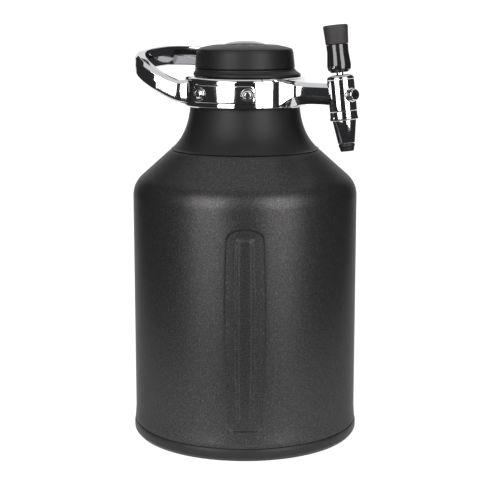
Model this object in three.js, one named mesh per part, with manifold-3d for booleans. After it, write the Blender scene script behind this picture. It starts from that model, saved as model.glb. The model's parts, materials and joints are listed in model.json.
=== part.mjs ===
// A one-gallon double-walled soda keg with a screw cap that holds a gas regulator and cartridge,
// a two-part chrome neck collar with a carrying loop, and a side tap.
// Millimetres, +Z up, origin at the centre of the underside, -Y is the front, +X is the front's right.

import * as THREE from 'three';
import { mergeVertices } from 'three/addons/utils/BufferGeometryUtils.js';
import Module from 'manifold-3d';

const wasm = await Module();
wasm.setup();

// ---------------------------------------------------------------- driving dimensions
const GAP = 0.3;                    // clearance between touching pieces
const LARGE = 28;                   // segments round the body, cap and collar
const MEDIUM = 20;                  // segments round the vessel and tap
const SMALL = 12;                   // segments round screws, rods and tubes

const BODY_RADIUS = 84;
const SHELL_WALL = 1.6;
const VACUUM_GAP = 2.9;
const VESSEL_WALL = 1.5;

const BOOT_RADIUS = 85.2;
const BOOT_HEIGHT = 9.8;
const BOOT_FLOOR = 3;
const BOOT_EDGE = 3;                // rounding of the boot's lower edge
const FOOT_RING_INNER = 58;
const FOOT_RING_HEIGHT = 1.2;

const SHOULDER_START = 182.8;       // height where the straight side ends
const SHOULDER_ROUND = 19;
const SHOULDER_SLOPE = THREE.MathUtils.degToRad(48.6);
const SHOULDER_END = 216.8;         // height of the seam between shell and neck cone

const CONE_BOTTOM_RADIUS = 55.2;
const CONE_TOP_RADIUS = 40.9;
const CONE_TOP = 248.9;
const CONE_WALL = 2.2;

const NECK_RADIUS = 34.7;
const NECK_WALL = 1.7;
const NECK_TOP = 270.7;

const COLLAR_RADIUS = 45.3;
const COLLAR_BOTTOM = 249.3;
const COLLAR_TOP = 271;
const SPLIT_ANGLE = 41.2;           // degrees either side of the arm where the collar is split
const SPLIT_GAP = 0.5;

const PLATE_HEIGHT = 12.9;
const PLATE_CORNER = 3;
const PLATE_MIDDLE = 259.7;         // height of the plates' centre line
const PLATE_PROUD = 0.6;
const PLATE_DEPTH = 1;
const FRONT_PLATE = { angle: 247.5, width: 49.9, screws: [225, 272.3] };
const REAR_PLATE = { angle: 46.5, width: 49.9, screws: [21.7, 69] };

const FLANGE_BOTTOM = COLLAR_TOP + GAP;
const FLANGE_TOP = 276.6;
const FLANGE_TOP_RADIUS = 37.3;
const FLANGE_BOTTOM_RADIUS = 39.8;
const FLANGE_SHIFT = 1.9;           // the flange's foot is set towards +X
const MOUTH_RADIUS = 31.6;
const GASKET_SEAT_RADIUS = 35;
const GASKET_SEAT = 274.4;

const CAP_BOTTOM = FLANGE_TOP + 0.6;
const CAP_RADIUS = 37.1;
const CAP_SHOULDER_RADIUS = 35.9;
const CAP_SHOULDER = 288.6;
const CAP_TOP = 294.2;
const CAP_WALL = 2.5;
const DIAL_RADIUS = 15.6;
const DIAL_TOP = 297;
const DIAL_EDGE = 294.6;

const PLUG_RADIUS = 28.6;
const PLUG_BOTTOM = 265.5;
const PLUG_FLANGE_RADIUS = 33.6;
const REGULATOR_RADIUS = 14.5;
const REGULATOR_BORE = 13;
const REGULATOR_TOP = 287;
const SPIGOT_RADIUS = 11;
const SPIGOT_BOTTOM = 256;
const SPIGOT_BORE = 2.2;
const SLEEVE_RADIUS = 13.2;
const SLEEVE_BORE = 11.4;
const SLEEVE_TOP = 264.6;
const SLEEVE_BOTTOM = 162.5;
const CARTRIDGE_RADIUS = 11;
const CARTRIDGE_TOP = 253.9;
const CARTRIDGE_BOTTOM = 166.5;

const ARM_ANGLE = THREE.MathUtils.degToRad(-33);   // the arm points to the front right of +X
const ARM_HEIGHT = 258.4;           // height of the shank's axis
const SHANK_RADIUS = 5;
const SHANK_BORE = 3;
const SHANK_START = 25.8;
const SHANK_END = 74.3;
const DIP_X = 21;
const DIP_RADIUS = 2.4;
const DIP_BOTTOM = 24;

const TAP_X = 82.3;                 // where the tap's axis crosses TAP_Z, measured along the arm
const TAP_Z = 259.6;
const TAP_LEAN = THREE.MathUtils.degToRad(7.14);
const TAP_SCALE = 0.955;            // the tap's own sizes below are multiplied by this
const TAP_RADIUS = 10.3;
const TAP_CAVITY = 7.2;
const TAP_LOWER_BORE = 5.4;
const TAP_BODY_LOW = -11.6;         // heights below are measured along the tap's axis
const TAP_BODY_HIGH = 11.6;
const BONNET_TOP = 15.3;
const NOZZLE_SEAT_LOW = -18.3;
const CONE_LOW = -35.7;
const TIP_LOW = -41.8;
const PIVOT = 3.1;
const HANDLE_LOW = 17.1;
const HANDLE_HIGH = 37.7;
const SLEEVE_HIGH = 52.1;
const STEM_RADIUS = 2.6;

// ---------------------------------------------------------------- materials
function finish(color, roughness, metalness) {
  return new THREE.MeshStandardMaterial({ color, roughness, metalness });
}

const powderCoat = finish(0x5c5a5b, 0.55, 0.3);
const satinBlack = finish(0x2c2a2b, 0.45, 0);
const glossBlack = finish(0x141314, 0.12, 0);
const rubber = finish(0x1c1a1b, 0.85, 0);
const gripRubber = finish(0x433e42, 0.7, 0);
const chrome = finish(0xe4e4e6, 0.06, 1);
const steel = finish(0xa8a8a6, 0.3, 1);
const brass = finish(0xb5954e, 0.3, 1);

// ---------------------------------------------------------------- solids
// Joins shared corners, drops collapsed triangles and turns the surface outward.
function weld(source) {
  const bare = source.clone();
  bare.deleteAttribute('normal');
  bare.deleteAttribute('uv');
  const welded = mergeVertices(bare, 1e-4);
  const position = welded.getAttribute('position');
  const index = welded.getIndex().array;
  const corners = [];
  let volume = 0;
  const [a, b, c] = [new THREE.Vector3(), new THREE.Vector3(), new THREE.Vector3()];
  for (let i = 0; i < index.length; i += 3) {
    const [p, q, r] = [index[i], index[i + 1], index[i + 2]];
    if (p === q || q === r || r === p) continue;
    corners.push(p, q, r);
    a.fromBufferAttribute(position, p);
    b.fromBufferAttribute(position, q);
    c.fromBufferAttribute(position, r);
    volume += a.dot(b.cross(c));
  }
  if (volume < 0) corners.reverse();
  welded.setIndex(corners);
  return welded;
}

function solid(geometry) {
  const welded = weld(geometry);
  const vertProperties = new Float32Array(welded.getAttribute('position').array);
  const triVerts = new Uint32Array(welded.getIndex().array);
  return new wasm.Manifold(new wasm.Mesh({ numProp: 3, vertProperties, triVerts }));
}

function surface(manifold) {
  const mesh = manifold.getMesh();
  const geometry = new THREE.BufferGeometry();
  const corners = new Float32Array(mesh.vertProperties);
  geometry.setAttribute('position', new THREE.BufferAttribute(corners, 3));
  geometry.setIndex(Array.from(mesh.triVerts));
  return geometry;
}

// Revolves a closed [radius, height] outline about +Z.
function turned(outline, segments) {
  const points = outline.map(([radius, height]) => new THREE.Vector2(radius, height));
  const last = outline[outline.length - 1];
  const onAxis = outline[0][0] === 0 && last[0] === 0;
  if (!onAxis) points.push(points[0].clone());
  const geometry = new THREE.LatheGeometry(points, segments);
  geometry.rotateX(Math.PI / 2);
  return weld(geometry);
}

// Points of an arc in the radius-height plane, angles in degrees from the outward direction.
function arc(radius, height, round, from, to, steps) {
  const points = [];
  for (let i = 0; i <= steps; i++) {
    const angle = THREE.MathUtils.degToRad(from + (to - from) * i / steps);
    points.push([radius + round * Math.cos(angle), height + round * Math.sin(angle)]);
  }
  return points;
}

// A straight round bar along +Z.
function bar(radius, low, high, segments = SMALL) {
  return turned([[0, low], [radius, low], [radius, high], [0, high]], segments);
}

function tube(outer, inner, low, high, segments = SMALL) {
  return turned([[inner, low], [outer, low], [outer, high], [inner, high]], segments);
}

// Turns a piece that stands along +Z until it lies along +X.
function alongX(geometry) {
  return geometry.rotateY(Math.PI / 2);
}

// Joins rings of points, all with the same count, into one capped surface.
function loft(rings) {
  const count = rings[0].length;
  const corners = rings.flat();
  const index = [];
  for (let i = 0; i + 1 < rings.length; i++) {
    for (let j = 0; j < count; j++) {
      const k = (j + 1) % count;
      const [a, b] = [i * count + j, i * count + k];
      const [c, d] = [a + count, b + count];
      index.push(a, b, d, a, d, c);
    }
  }
  const end = (rings.length - 1) * count;
  for (let j = 1; j + 1 < count; j++) {
    index.push(0, j + 1, j, end, end + j, end + j + 1);
  }
  const geometry = new THREE.BufferGeometry().setFromPoints(corners);
  geometry.setIndex(index);
  return weld(geometry);
}

function rectangle(width, height, corner) {
  const [x, y] = [width / 2, height / 2];
  const shape = new THREE.Shape();
  shape.moveTo(-x + corner, -y);
  shape.lineTo(x - corner, -y);
  shape.absarc(x - corner, -y + corner, corner, -Math.PI / 2, 0);
  shape.lineTo(x, y - corner);
  shape.absarc(x - corner, y - corner, corner, 0, Math.PI / 2);
  shape.lineTo(-x + corner, y);
  shape.absarc(-x + corner, y - corner, corner, Math.PI / 2, Math.PI);
  shape.lineTo(-x, -y + corner);
  shape.absarc(-x + corner, -y + corner, corner, Math.PI, 1.5 * Math.PI);
  return shape;
}

// Pushes a rounded rectangle outwards from the keg's axis in the given direction (degrees).
function radialBlock(angle, width, height, middle, reach, corner = PLATE_CORNER) {
  const options = { depth: reach, bevelEnabled: false, curveSegments: 3 };
  const block = new THREE.ExtrudeGeometry(rectangle(width, height, corner), options);
  block.rotateX(Math.PI / 2);
  block.rotateZ(THREE.MathUtils.degToRad(angle + 90));
  block.translate(0, 0, middle);
  return block;
}

// A bar along the horizontal direction at the given angle from +X (degrees), outwards from the axis.
function radialBar(radius, angle, from, to, height, segments = SMALL) {
  const rod = alongX(bar(radius, from, to, segments));
  rod.rotateZ(THREE.MathUtils.degToRad(angle));
  rod.translate(0, 0, height);
  return rod;
}

function spring(coil, wire, low, high, turns) {
  const inset = wire * 1.2;
  const points = [];
  const perTurn = 8;
  for (let i = 0; i <= turns * perTurn; i++) {
    const turn = 2 * Math.PI * i / perTurn;
    const height = low + inset + (high - low - 2 * inset) * i / (turns * perTurn);
    points.push(new THREE.Vector3(coil * Math.cos(turn), coil * Math.sin(turn), height));
  }
  const section = new THREE.Shape().absarc(0, 0, wire, 0, 2 * Math.PI);
  const options = {
    steps: turns * perTurn,
    curveSegments: 3,
    extrudePath: new THREE.CatmullRomCurve3(points),
  };
  return weld(new THREE.ExtrudeGeometry(section, options));
}

// ---------------------------------------------------------------- parts tree
const keg = new THREE.Group();

// Carries the arm, the drink line and the tap, which all lie in the arm's upright plane.
const armSide = new THREE.Group();
armSide.rotation.z = ARM_ANGLE;
keg.add(armSide);

function add(name, geometry, material, parent = keg) {
  const mesh = new THREE.Mesh(geometry, material);
  mesh.name = name;
  parent.add(mesh);
  return mesh;
}

// ---------------------------------------------------------------- body
// The concave sweep from the shoulder seam to the collar, drawn in by a given amount.
function coneSweep(inset, steps) {
  const curve = new THREE.CubicBezierCurve(
    new THREE.Vector2(CONE_BOTTOM_RADIUS - inset, SHOULDER_END + GAP),
    new THREE.Vector2(CONE_BOTTOM_RADIUS - 8.2 - inset, SHOULDER_END + 7.2),
    new THREE.Vector2(CONE_TOP_RADIUS + 1.1 - inset, CONE_TOP - 14.4),
    new THREE.Vector2(CONE_TOP_RADIUS - inset, CONE_TOP),
  );
  return curve.getPoints(steps).map((point) => [point.x, point.y]);
}

function bootOutline() {
  const flare = 0.4;
  const wall = 3.6;
  return [
    [0, FOOT_RING_HEIGHT],
    [FOOT_RING_INNER, FOOT_RING_HEIGHT],
    [FOOT_RING_INNER + 2, 0],
    ...arc(BOOT_RADIUS - BOOT_EDGE, BOOT_EDGE, BOOT_EDGE, -90, 0, 3),
    [BOOT_RADIUS, BOOT_HEIGHT - 2],
    [BOOT_RADIUS - flare, BOOT_HEIGHT],
    [BOOT_RADIUS - wall, BOOT_HEIGHT],
    [BOOT_RADIUS - wall, BOOT_FLOOR],
    [0, BOOT_FLOOR],
  ];
}

const slopeDegrees = THREE.MathUtils.radToDeg(SHOULDER_SLOPE);

// The shoulder's rounding, drawn in by a given amount from the outer surface.
function shoulder(inset, from, to) {
  const centre = BODY_RADIUS - SHOULDER_ROUND;
  return arc(centre, SHOULDER_START, SHOULDER_ROUND - inset, from, to, 4);
}

const RELIEF = {
  low: 22, high: 166.5, lowWidth: 22, middleWidth: 30, highWidth: 26.5, depth: 0.8,
  barLow: 29, barHigh: 161.5, barWidth: 14,
};

// The long barrel-shaped outline pressed into the front.
function reliefShape() {
  const { low, high, lowWidth, middleWidth, highWidth } = RELIEF;
  const corner = 4;
  const bulge = middleWidth - Math.max(lowWidth, highWidth) / 2;
  const shape = new THREE.Shape();
  shape.moveTo(-lowWidth / 2 + corner, low);
  shape.lineTo(lowWidth / 2 - corner, low);
  shape.quadraticCurveTo(lowWidth / 2, low, lowWidth / 2, low + corner);
  shape.quadraticCurveTo(bulge, (low + high) / 2, highWidth / 2, high - corner);
  shape.quadraticCurveTo(0, high + corner, -highWidth / 2, high - corner);
  shape.quadraticCurveTo(-bulge, (low + high) / 2, -lowWidth / 2, low + corner);
  shape.quadraticCurveTo(-lowWidth / 2, low, -lowWidth / 2 + corner, low);
  return shape;
}

// Stands a flat outline up facing the front, far enough out to cut the body's surface.
function frontBlock(shape) {
  const options = { depth: 40, bevelEnabled: false, curveSegments: 5 };
  const block = new THREE.ExtrudeGeometry(shape, options);
  block.rotateX(Math.PI / 2);
  block.translate(0, -60, 0);
  return solid(block);
}

function reliefCut() {
  const { low, high, depth, barLow, barHigh, barWidth } = RELIEF;
  const skin = solid(tube(BODY_RADIUS + 5, BODY_RADIUS - depth, low - 5, high + 5, LARGE));
  const spine = rectangle(barWidth, barHigh - barLow, 2);
  const bar = frontBlock(spine).translate([0, 0, (barLow + barHigh) / 2]);
  return frontBlock(reliefShape()).subtract(bar).intersect(skin);
}

function buildShell() {
  const inner = BODY_RADIUS - SHELL_WALL;
  const low = BOOT_HEIGHT + GAP;
  const flare = 0.6;
  const outline = [
    [inner, low],
    [BODY_RADIUS + flare, low],
    [BODY_RADIUS, low + 12],
    ...shoulder(0, 0, slopeDegrees),
    [CONE_BOTTOM_RADIUS + 0.4, SHOULDER_END],
    ...coneSweep(CONE_WALL + 0.4, 5),
    ...coneSweep(CONE_WALL + 0.4 + SHELL_WALL, 5).reverse(),
    ...shoulder(SHELL_WALL, slopeDegrees, 0),
  ];
  return surface(solid(turned(outline, LARGE)).subtract(reliefCut()));
}

function buildVessel() {
  const outer = BODY_RADIUS - SHELL_WALL - VACUUM_GAP;
  const inset = SHELL_WALL + VACUUM_GAP;
  const floor = 14.5;
  const corner = 12;
  const neckInset = CONE_TOP_RADIUS - NECK_RADIUS;
  const outline = [
    [0, floor],
    ...arc(outer - corner, floor + corner, corner, -90, 0, 3),
    ...shoulder(inset, 0, slopeDegrees),
    ...coneSweep(neckInset, 4),
    [NECK_RADIUS, NECK_TOP],
    [NECK_RADIUS - NECK_WALL, NECK_TOP],
    ...coneSweep(neckInset + NECK_WALL, 4).reverse(),
    ...shoulder(inset + VESSEL_WALL, slopeDegrees, 0),
    ...arc(outer - corner, floor + corner, corner - VESSEL_WALL, 0, -90, 3),
    [0, floor + VESSEL_WALL],
  ];
  const hole = solid(shankSpace().rotateZ(ARM_ANGLE));
  return surface(solid(turned(outline, MEDIUM)).subtract(hole));
}

function shankSpace() {
  const space = alongX(bar(SHANK_RADIUS + GAP, SHANK_START, TAP_X, SMALL));
  return space.translate(0, 0, ARM_HEIGHT);
}

function buildConeOutline() {
  return [...coneSweep(0, 6), ...coneSweep(CONE_WALL, 6).reverse()];
}

add('base_boot', turned(bootOutline(), LARGE), rubber);
add('outer_shell', buildShell(), powderCoat);
add('shell_bottom', bar(BODY_RADIUS - 2, BOOT_HEIGHT + 0.6, BOOT_HEIGHT + 2.1, LARGE), steel);
add('inner_vessel', buildVessel(), steel);
add('neck_cone', turned(buildConeOutline(), LARGE), satinBlack);

// ---------------------------------------------------------------- flange under the cap
function buildFlange() {
  const lip = 1.2;
  const outline = [
    [MOUTH_RADIUS, FLANGE_BOTTOM],
    [FLANGE_BOTTOM_RADIUS, FLANGE_BOTTOM],
    [FLANGE_BOTTOM_RADIUS - 0.2, FLANGE_BOTTOM + lip],
    [FLANGE_TOP_RADIUS, FLANGE_TOP],
    [GASKET_SEAT_RADIUS, FLANGE_TOP],
    [GASKET_SEAT_RADIUS, GASKET_SEAT],
    [MOUTH_RADIUS, GASKET_SEAT],
  ];
  const geometry = turned(outline, LARGE);
  const position = geometry.getAttribute('position');
  for (let i = 0; i < position.count; i++) {
    const [x, y, z] = [position.getX(i), position.getY(i), position.getZ(i)];
    const outside = Math.hypot(x, y) > GASKET_SEAT_RADIUS + 1;
    const share = (FLANGE_TOP - z) / (FLANGE_TOP - FLANGE_BOTTOM);
    if (outside) position.setX(i, x + FLANGE_SHIFT * share);
  }
  return geometry;
}

add('neck_flange', buildFlange(), satinBlack);

// ---------------------------------------------------------------- collar, loop and arm
function collarRing() {
  const inner = NECK_RADIUS + 0.4;
  const topRound = 3;
  return solid(turned([
    [inner, COLLAR_BOTTOM],
    [COLLAR_RADIUS - 0.9, COLLAR_BOTTOM],
    [COLLAR_RADIUS, COLLAR_BOTTOM + 1],
    ...arc(COLLAR_RADIUS - topRound, COLLAR_TOP - topRound, topRound, 0, 90, 2),
    [inner, COLLAR_TOP],
  ], LARGE));
}

// A pie slice about +Z between two angles in degrees.
function slice(from, to) {
  const reach = 140;
  const shape = new THREE.Shape();
  shape.moveTo(0, 0);
  const steps = 4;
  for (let i = 0; i <= steps; i++) {
    const angle = THREE.MathUtils.degToRad(from + (to - from) * i / steps);
    shape.lineTo(reach * Math.cos(angle), reach * Math.sin(angle));
  }
  const block = new THREE.ExtrudeGeometry(shape, { depth: 60, bevelEnabled: false });
  block.translate(0, 0, COLLAR_BOTTOM - 20);
  return solid(block);
}

const splitTrim = THREE.MathUtils.radToDeg(SPLIT_GAP / 2 / COLLAR_RADIUS);

function plateBlock(plate, grow) {
  const width = plate.width + 2 * grow;
  const height = PLATE_HEIGHT + 2 * grow;
  return solid(radialBlock(plate.angle, width, height, PLATE_MIDDLE, 80));
}

function recess(plate) {
  const skin = solid(tube(70, COLLAR_RADIUS - PLATE_DEPTH - GAP, 240, 280, LARGE));
  return plateBlock(plate, GAP).intersect(skin);
}

function screwHoles(plate) {
  const holes = plate.screws.map((angle) => solid(radialBar(2.3, angle, 38, 60, PLATE_MIDDLE, 10)));
  return wasm.Manifold.union(holes);
}

// The loop's centre line: radius, angle from +X in degrees, height, half height, half thickness.
const LOOP = [
  [36.5, 198.9, 260, 9.4, 5],
  [44.3, 198.7, 260.2, 8.8, 4.4],
  [51.4, 193.4, 261, 7.8, 4],
  [58.8, 189.2, 264.3, 7.2, 4],
  [65.4, 186.1, 268.2, 7, 4],
  [71.5, 182.1, 272.5, 7, 3.9],
  [76.4, 177, 276.4, 7.1, 3.9],
  [79.7, 170.6, 279.3, 7.3, 3.9],
  [81.2, 162.8, 281.5, 7.5, 3.9],
  [77.8, 145, 283.8, 7.5, 3.9],
  [75, 131, 284, 7.5, 3.9],
  [71, 117.5, 282.6, 7.5, 3.9],
  [64.5, 106.5, 277.6, 7.7, 4],
  [54, 99.5, 269, 8.6, 4.2],
  [41, 98, 260, 9.6, 4],
];

function loopStation([radius, angle, height, halfHeight, halfThickness]) {
  const turn = THREE.MathUtils.degToRad(angle);
  const place = new THREE.Vector3(radius * Math.cos(turn), radius * Math.sin(turn), height);
  return { place, halfHeight, halfThickness };
}

function buildLoop() {
  const stations = LOOP.map(loopStation);
  const curve = new THREE.CatmullRomCurve3(stations.map((station) => station.place));
  const steps = 32;
  const rings = [];
  for (let i = 0; i <= steps; i++) {
    const along = i / steps * (stations.length - 1);
    const first = Math.min(Math.floor(along), stations.length - 2);
    const share = along - first;
    const [near, far] = [stations[first], stations[first + 1]];
    const halfHeight = THREE.MathUtils.lerp(near.halfHeight, far.halfHeight, share);
    const halfThickness = THREE.MathUtils.lerp(near.halfThickness, far.halfThickness, share);
    const centre = curve.getPoint(i / steps);
    const tangent = curve.getTangent(i / steps).setZ(0).normalize();
    rings.push(loopSection(centre, tangent, halfHeight, halfThickness));
  }
  return loft(rings);
}

// A bevelled rectangle across the strand, upright, with its flat sides facing in and out.
function loopSection(centre, tangent, halfHeight, halfThickness) {
  const bevel = 1.6;
  const across = [
    [-halfThickness, -halfHeight + bevel], [-halfThickness, halfHeight - bevel],
    [-halfThickness + bevel, halfHeight], [halfThickness - bevel, halfHeight],
    [halfThickness, halfHeight - bevel], [halfThickness, -halfHeight + bevel],
    [halfThickness - bevel, -halfHeight], [-halfThickness + bevel, -halfHeight],
  ];
  const side = new THREE.Vector3(tangent.y, -tangent.x, 0);
  return across.map(([out, up]) => centre.clone().addScaledVector(side, out).setZ(centre.z + up));
}

function buildHandleCollar() {
  const core = solid(bar(NECK_RADIUS + 0.4, 230, 290, LARGE));
  const armDegrees = THREE.MathUtils.radToDeg(ARM_ANGLE);
  const from = armDegrees + SPLIT_ANGLE + splitTrim;
  const half = collarRing().intersect(slice(from, 360 + armDegrees - SPLIT_ANGLE - splitTrim));
  const casting = half.add(solid(buildLoop()).subtract(core));
  const cuts = [recess(FRONT_PLATE), recess(REAR_PLATE), screwHoles(FRONT_PLATE), screwHoles(REAR_PLATE)];
  return surface(casting.subtract(wasm.Manifold.union(cuts)));
}

// The arm's sections along its length: distance, half width, lowest and highest point.
const ARM = [
  [33, 28, 249.6, 270.7],
  [40, 21.4, 249.6, 270.7],
  [44, 16.1, 249.8, 270.2],
  [48, 10.8, 250.9, 269.2],
  [50.5, 8.9, 251.6, 268.6],
  [53.5, 8.1, 252.2, 268.2],
  [58, 7.9, 252.5, 268],
  [68, 7.9, 252.6, 268],
  [78.5, 7.9, 251.9, 268],
];
const ARM_BEVEL = 3.4;

function armSection([x, halfWidth, low, high]) {
  const halfHeight = (high - low) / 2;
  const middle = (high + low) / 2;
  const bevel = Math.min(ARM_BEVEL, halfWidth / 2);
  const outline = [
    [halfWidth, -halfHeight + bevel], [halfWidth, halfHeight - bevel],
    [halfWidth - bevel, halfHeight], [-halfWidth + bevel, halfHeight],
    [-halfWidth, halfHeight - bevel], [-halfWidth, -halfHeight + bevel],
    [-halfWidth + bevel, -halfHeight], [halfWidth - bevel, -halfHeight],
  ];
  return outline.map(([y, z]) => new THREE.Vector3(x, y, middle + z));
}

function tapPlace(geometry) {
  geometry.scale(TAP_SCALE, TAP_SCALE, TAP_SCALE);
  geometry.rotateY(-TAP_LEAN);
  return geometry.translate(TAP_X, 0, TAP_Z);
}

const ARM_SCREW = { x: 64, radius: 1.5, low: ARM_HEIGHT + SHANK_RADIUS + GAP, high: ARM_HEIGHT + 9.1 };

function buildTapCollar() {
  const core = solid(bar(NECK_RADIUS + 0.4, 230, 290, LARGE));
  const half = collarRing().intersect(slice(-SPLIT_ANGLE + splitTrim, SPLIT_ANGLE - splitTrim));
  const arm = solid(loft(ARM.map(armSection))).subtract(core);
  const tapSpace = solid(tapPlace(bar(TAP_RADIUS + GAP, -30, 30, MEDIUM)));
  const screwSpace = solid(bar(ARM_SCREW.radius + GAP, ARM_HEIGHT, ARM_HEIGHT + 20, 10).translate(ARM_SCREW.x, 0, 0));
  const cuts = [tapSpace, solid(shankSpace()), screwSpace];
  return surface(half.add(arm).subtract(wasm.Manifold.union(cuts)));
}

function buildPlate(plate) {
  const outer = COLLAR_RADIUS + PLATE_PROUD;
  const ring = solid(tube(outer, COLLAR_RADIUS - PLATE_DEPTH, 240, 280, LARGE));
  return surface(plateBlock(plate, 0).intersect(ring).subtract(screwHoles(plate)));
}

// A button-headed screw on a washer face, standing along +Z with its head's underside at zero.
function buildScrew() {
  const washer = 4.9;
  const head = 3.3;
  const socket = 1.3;
  return turned([
    [0, -5.6], [1.9, -5.6], [1.9, 0], [washer, 0], [washer, 0.7], [head, 0.7],
    [head - 0.5, 2], [socket, 2.3], [socket, 1], [0, 1],
  ], 12);
}

function addScrews(plate, names) {
  plate.screws.forEach((angle, i) => {
    const place = new THREE.Group();
    const turn = THREE.MathUtils.degToRad(angle);
    const reach = COLLAR_RADIUS + PLATE_PROUD + GAP;
    place.position.set(reach * Math.cos(turn), reach * Math.sin(turn), PLATE_MIDDLE);
    place.rotation.z = turn;
    const screw = add(names[i], buildScrew(), chrome, place);
    screw.rotation.y = Math.PI / 2;
    keg.add(place);
  });
}

add('handle_collar', buildHandleCollar(), chrome);
add('tap_collar', buildTapCollar(), chrome, armSide);
add('clamp_plate', buildPlate(FRONT_PLATE), chrome);
add('rear_clamp_plate', buildPlate(REAR_PLATE), chrome);
addScrews(FRONT_PLATE, ['clamp_screw_left', 'clamp_screw_right']);
addScrews(REAR_PLATE, ['rear_screw_left', 'rear_screw_right']);
const armScrew = bar(ARM_SCREW.radius, ARM_SCREW.low, ARM_SCREW.high, 10);
add('arm_set_screw', armScrew.translate(ARM_SCREW.x, 0, 0), steel, armSide);

// ---------------------------------------------------------------- drink line
const shank = alongX(tube(SHANK_RADIUS, SHANK_BORE, SHANK_START, SHANK_END));
add('tap_shank', shank.translate(0, 0, ARM_HEIGHT), steel, armSide);
const nutBore = solid(bar(SHANK_RADIUS + GAP, 20, 40));
const nut = alongX(surface(solid(bar(7.4, 27.8, 31.4, 6)).subtract(nutBore)));
add('shank_nut', nut.translate(0, 0, ARM_HEIGHT), steel, armSide);
add('dip_elbow', bar(4.4, ARM_HEIGHT - 7.4, ARM_HEIGHT + 3.6).translate(DIP_X, 0, 0), steel, armSide);
const dipTube = tube(DIP_RADIUS, DIP_RADIUS - 0.8, DIP_BOTTOM, ARM_HEIGHT - 7.7, 12);
add('dip_tube', dipTube.translate(DIP_X, 0, 0), steel, armSide);

// ---------------------------------------------------------------- cap, regulator and cartridge
function capOutline() {
  const round = 4;
  const top = CAP_SHOULDER;
  return [
    [CAP_RADIUS - CAP_WALL, CAP_BOTTOM],
    [CAP_RADIUS, CAP_BOTTOM],
    ...arc(CAP_SHOULDER_RADIUS - round, top, round, 0, 70, 3),
    [24, top + 5.2],
    [DIAL_RADIUS + 0.4, CAP_TOP],
    [DIAL_RADIUS + 0.4, CAP_TOP - CAP_WALL],
    [CAP_SHOULDER_RADIUS - round, top + round - CAP_WALL],
    [CAP_SHOULDER_RADIUS - CAP_WALL, top - 1],
  ];
}

function dialOutline() {
  const stem = 5;
  const under = CAP_TOP - CAP_WALL;
  const sphere = DIAL_RADIUS ** 2 / (2 * (DIAL_TOP - DIAL_EDGE));
  const dome = [1, 0.72, 0.4, 0].map((share) => {
    const radius = share * DIAL_RADIUS;
    return [radius, DIAL_TOP - radius ** 2 / (2 * sphere)];
  });
  return [[0, REGULATOR_TOP - 1.2], [stem, REGULATOR_TOP - 1.2], [stem, under], [DIAL_RADIUS, under], ...dome];
}

function plugOutline() {
  const seat = CAP_BOTTOM + 0.2;
  const bore = REGULATOR_RADIUS + 0.4;
  return [
    [bore, PLUG_BOTTOM],
    [PLUG_RADIUS, PLUG_BOTTOM],
    [PLUG_RADIUS, seat],
    [PLUG_FLANGE_RADIUS, seat],
    [PLUG_FLANGE_RADIUS, seat + 2],
    [PLUG_RADIUS - 2.4, seat + 2],
    [PLUG_RADIUS - 2.4, PLUG_BOTTOM + 2.5],
    [bore + 2.2, PLUG_BOTTOM + 2.5],
    [bore + 2.2, seat + 2],
    [bore, seat + 2],
  ];
}

function regulatorOutline() {
  const floor = PLUG_BOTTOM + 1.5;
  return [
    [SPIGOT_BORE, SPIGOT_BOTTOM],
    [SPIGOT_RADIUS, SPIGOT_BOTTOM],
    [SPIGOT_RADIUS, PLUG_BOTTOM - 0.5],
    [REGULATOR_RADIUS, PLUG_BOTTOM - 0.5],
    [REGULATOR_RADIUS, REGULATOR_TOP],
    [REGULATOR_BORE, REGULATOR_TOP],
    [REGULATOR_BORE, floor],
    [SPIGOT_BORE, floor],
  ];
}

function sleeveOutline() {
  const floor = 2.5;
  return [
    [0, SLEEVE_BOTTOM],
    [SLEEVE_RADIUS - 2, SLEEVE_BOTTOM],
    [SLEEVE_RADIUS, SLEEVE_BOTTOM + 2],
    [SLEEVE_RADIUS, SLEEVE_TOP],
    [SLEEVE_BORE, SLEEVE_TOP],
    [SLEEVE_BORE, SLEEVE_BOTTOM + floor],
    [0, SLEEVE_BOTTOM + floor],
  ];
}

function cartridgeOutline() {
  const neck = 4.3;
  return [
    [0, CARTRIDGE_BOTTOM],
    [CARTRIDGE_RADIUS * 0.7, CARTRIDGE_BOTTOM + 1.2],
    [CARTRIDGE_RADIUS, CARTRIDGE_BOTTOM + 7],
    [CARTRIDGE_RADIUS, CARTRIDGE_TOP - 22],
    [CARTRIDGE_RADIUS * 0.8, CARTRIDGE_TOP - 13],
    [neck, CARTRIDGE_TOP - 7],
    [neck, CARTRIDGE_TOP],
    [0, CARTRIDGE_TOP],
  ];
}

add('cap_shell', turned(capOutline(), LARGE), satinBlack);
add('cap_plug', turned(plugOutline(), MEDIUM), satinBlack);
add('cap_gasket', tube(GASKET_SEAT_RADIUS - 0.4, MOUTH_RADIUS + 0.4, GASKET_SEAT + GAP, CAP_BOTTOM - 0.1, MEDIUM), rubber);
add('pressure_dial', turned(dialOutline(), MEDIUM), glossBlack);
add('regulator_body', turned(regulatorOutline(), MEDIUM), brass);
add('regulator_diaphragm', bar(REGULATOR_BORE - 0.4, PLUG_BOTTOM + 1.8, PLUG_BOTTOM + 2.8, MEDIUM), rubber);
add('regulator_spring', spring(7.5, 0.9, PLUG_BOTTOM + 3.1, REGULATOR_TOP - 3.7, 4), steel);
add('spring_cap', bar(REGULATOR_BORE - 0.4, REGULATOR_TOP - 3.4, REGULATOR_TOP - 1.5, MEDIUM), brass);
const pinOutline = [[0, CARTRIDGE_TOP + 0.3], [1.8, SPIGOT_BOTTOM + 2], [1.8, PLUG_BOTTOM + 1.2], [0, PLUG_BOTTOM + 1.2]];
add('piercing_pin', turned(pinOutline, 10), steel);
add('cartridge_seal', tube(4.4, SPIGOT_BORE, CARTRIDGE_TOP + GAP, SPIGOT_BOTTOM - GAP, 16), rubber);
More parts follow.
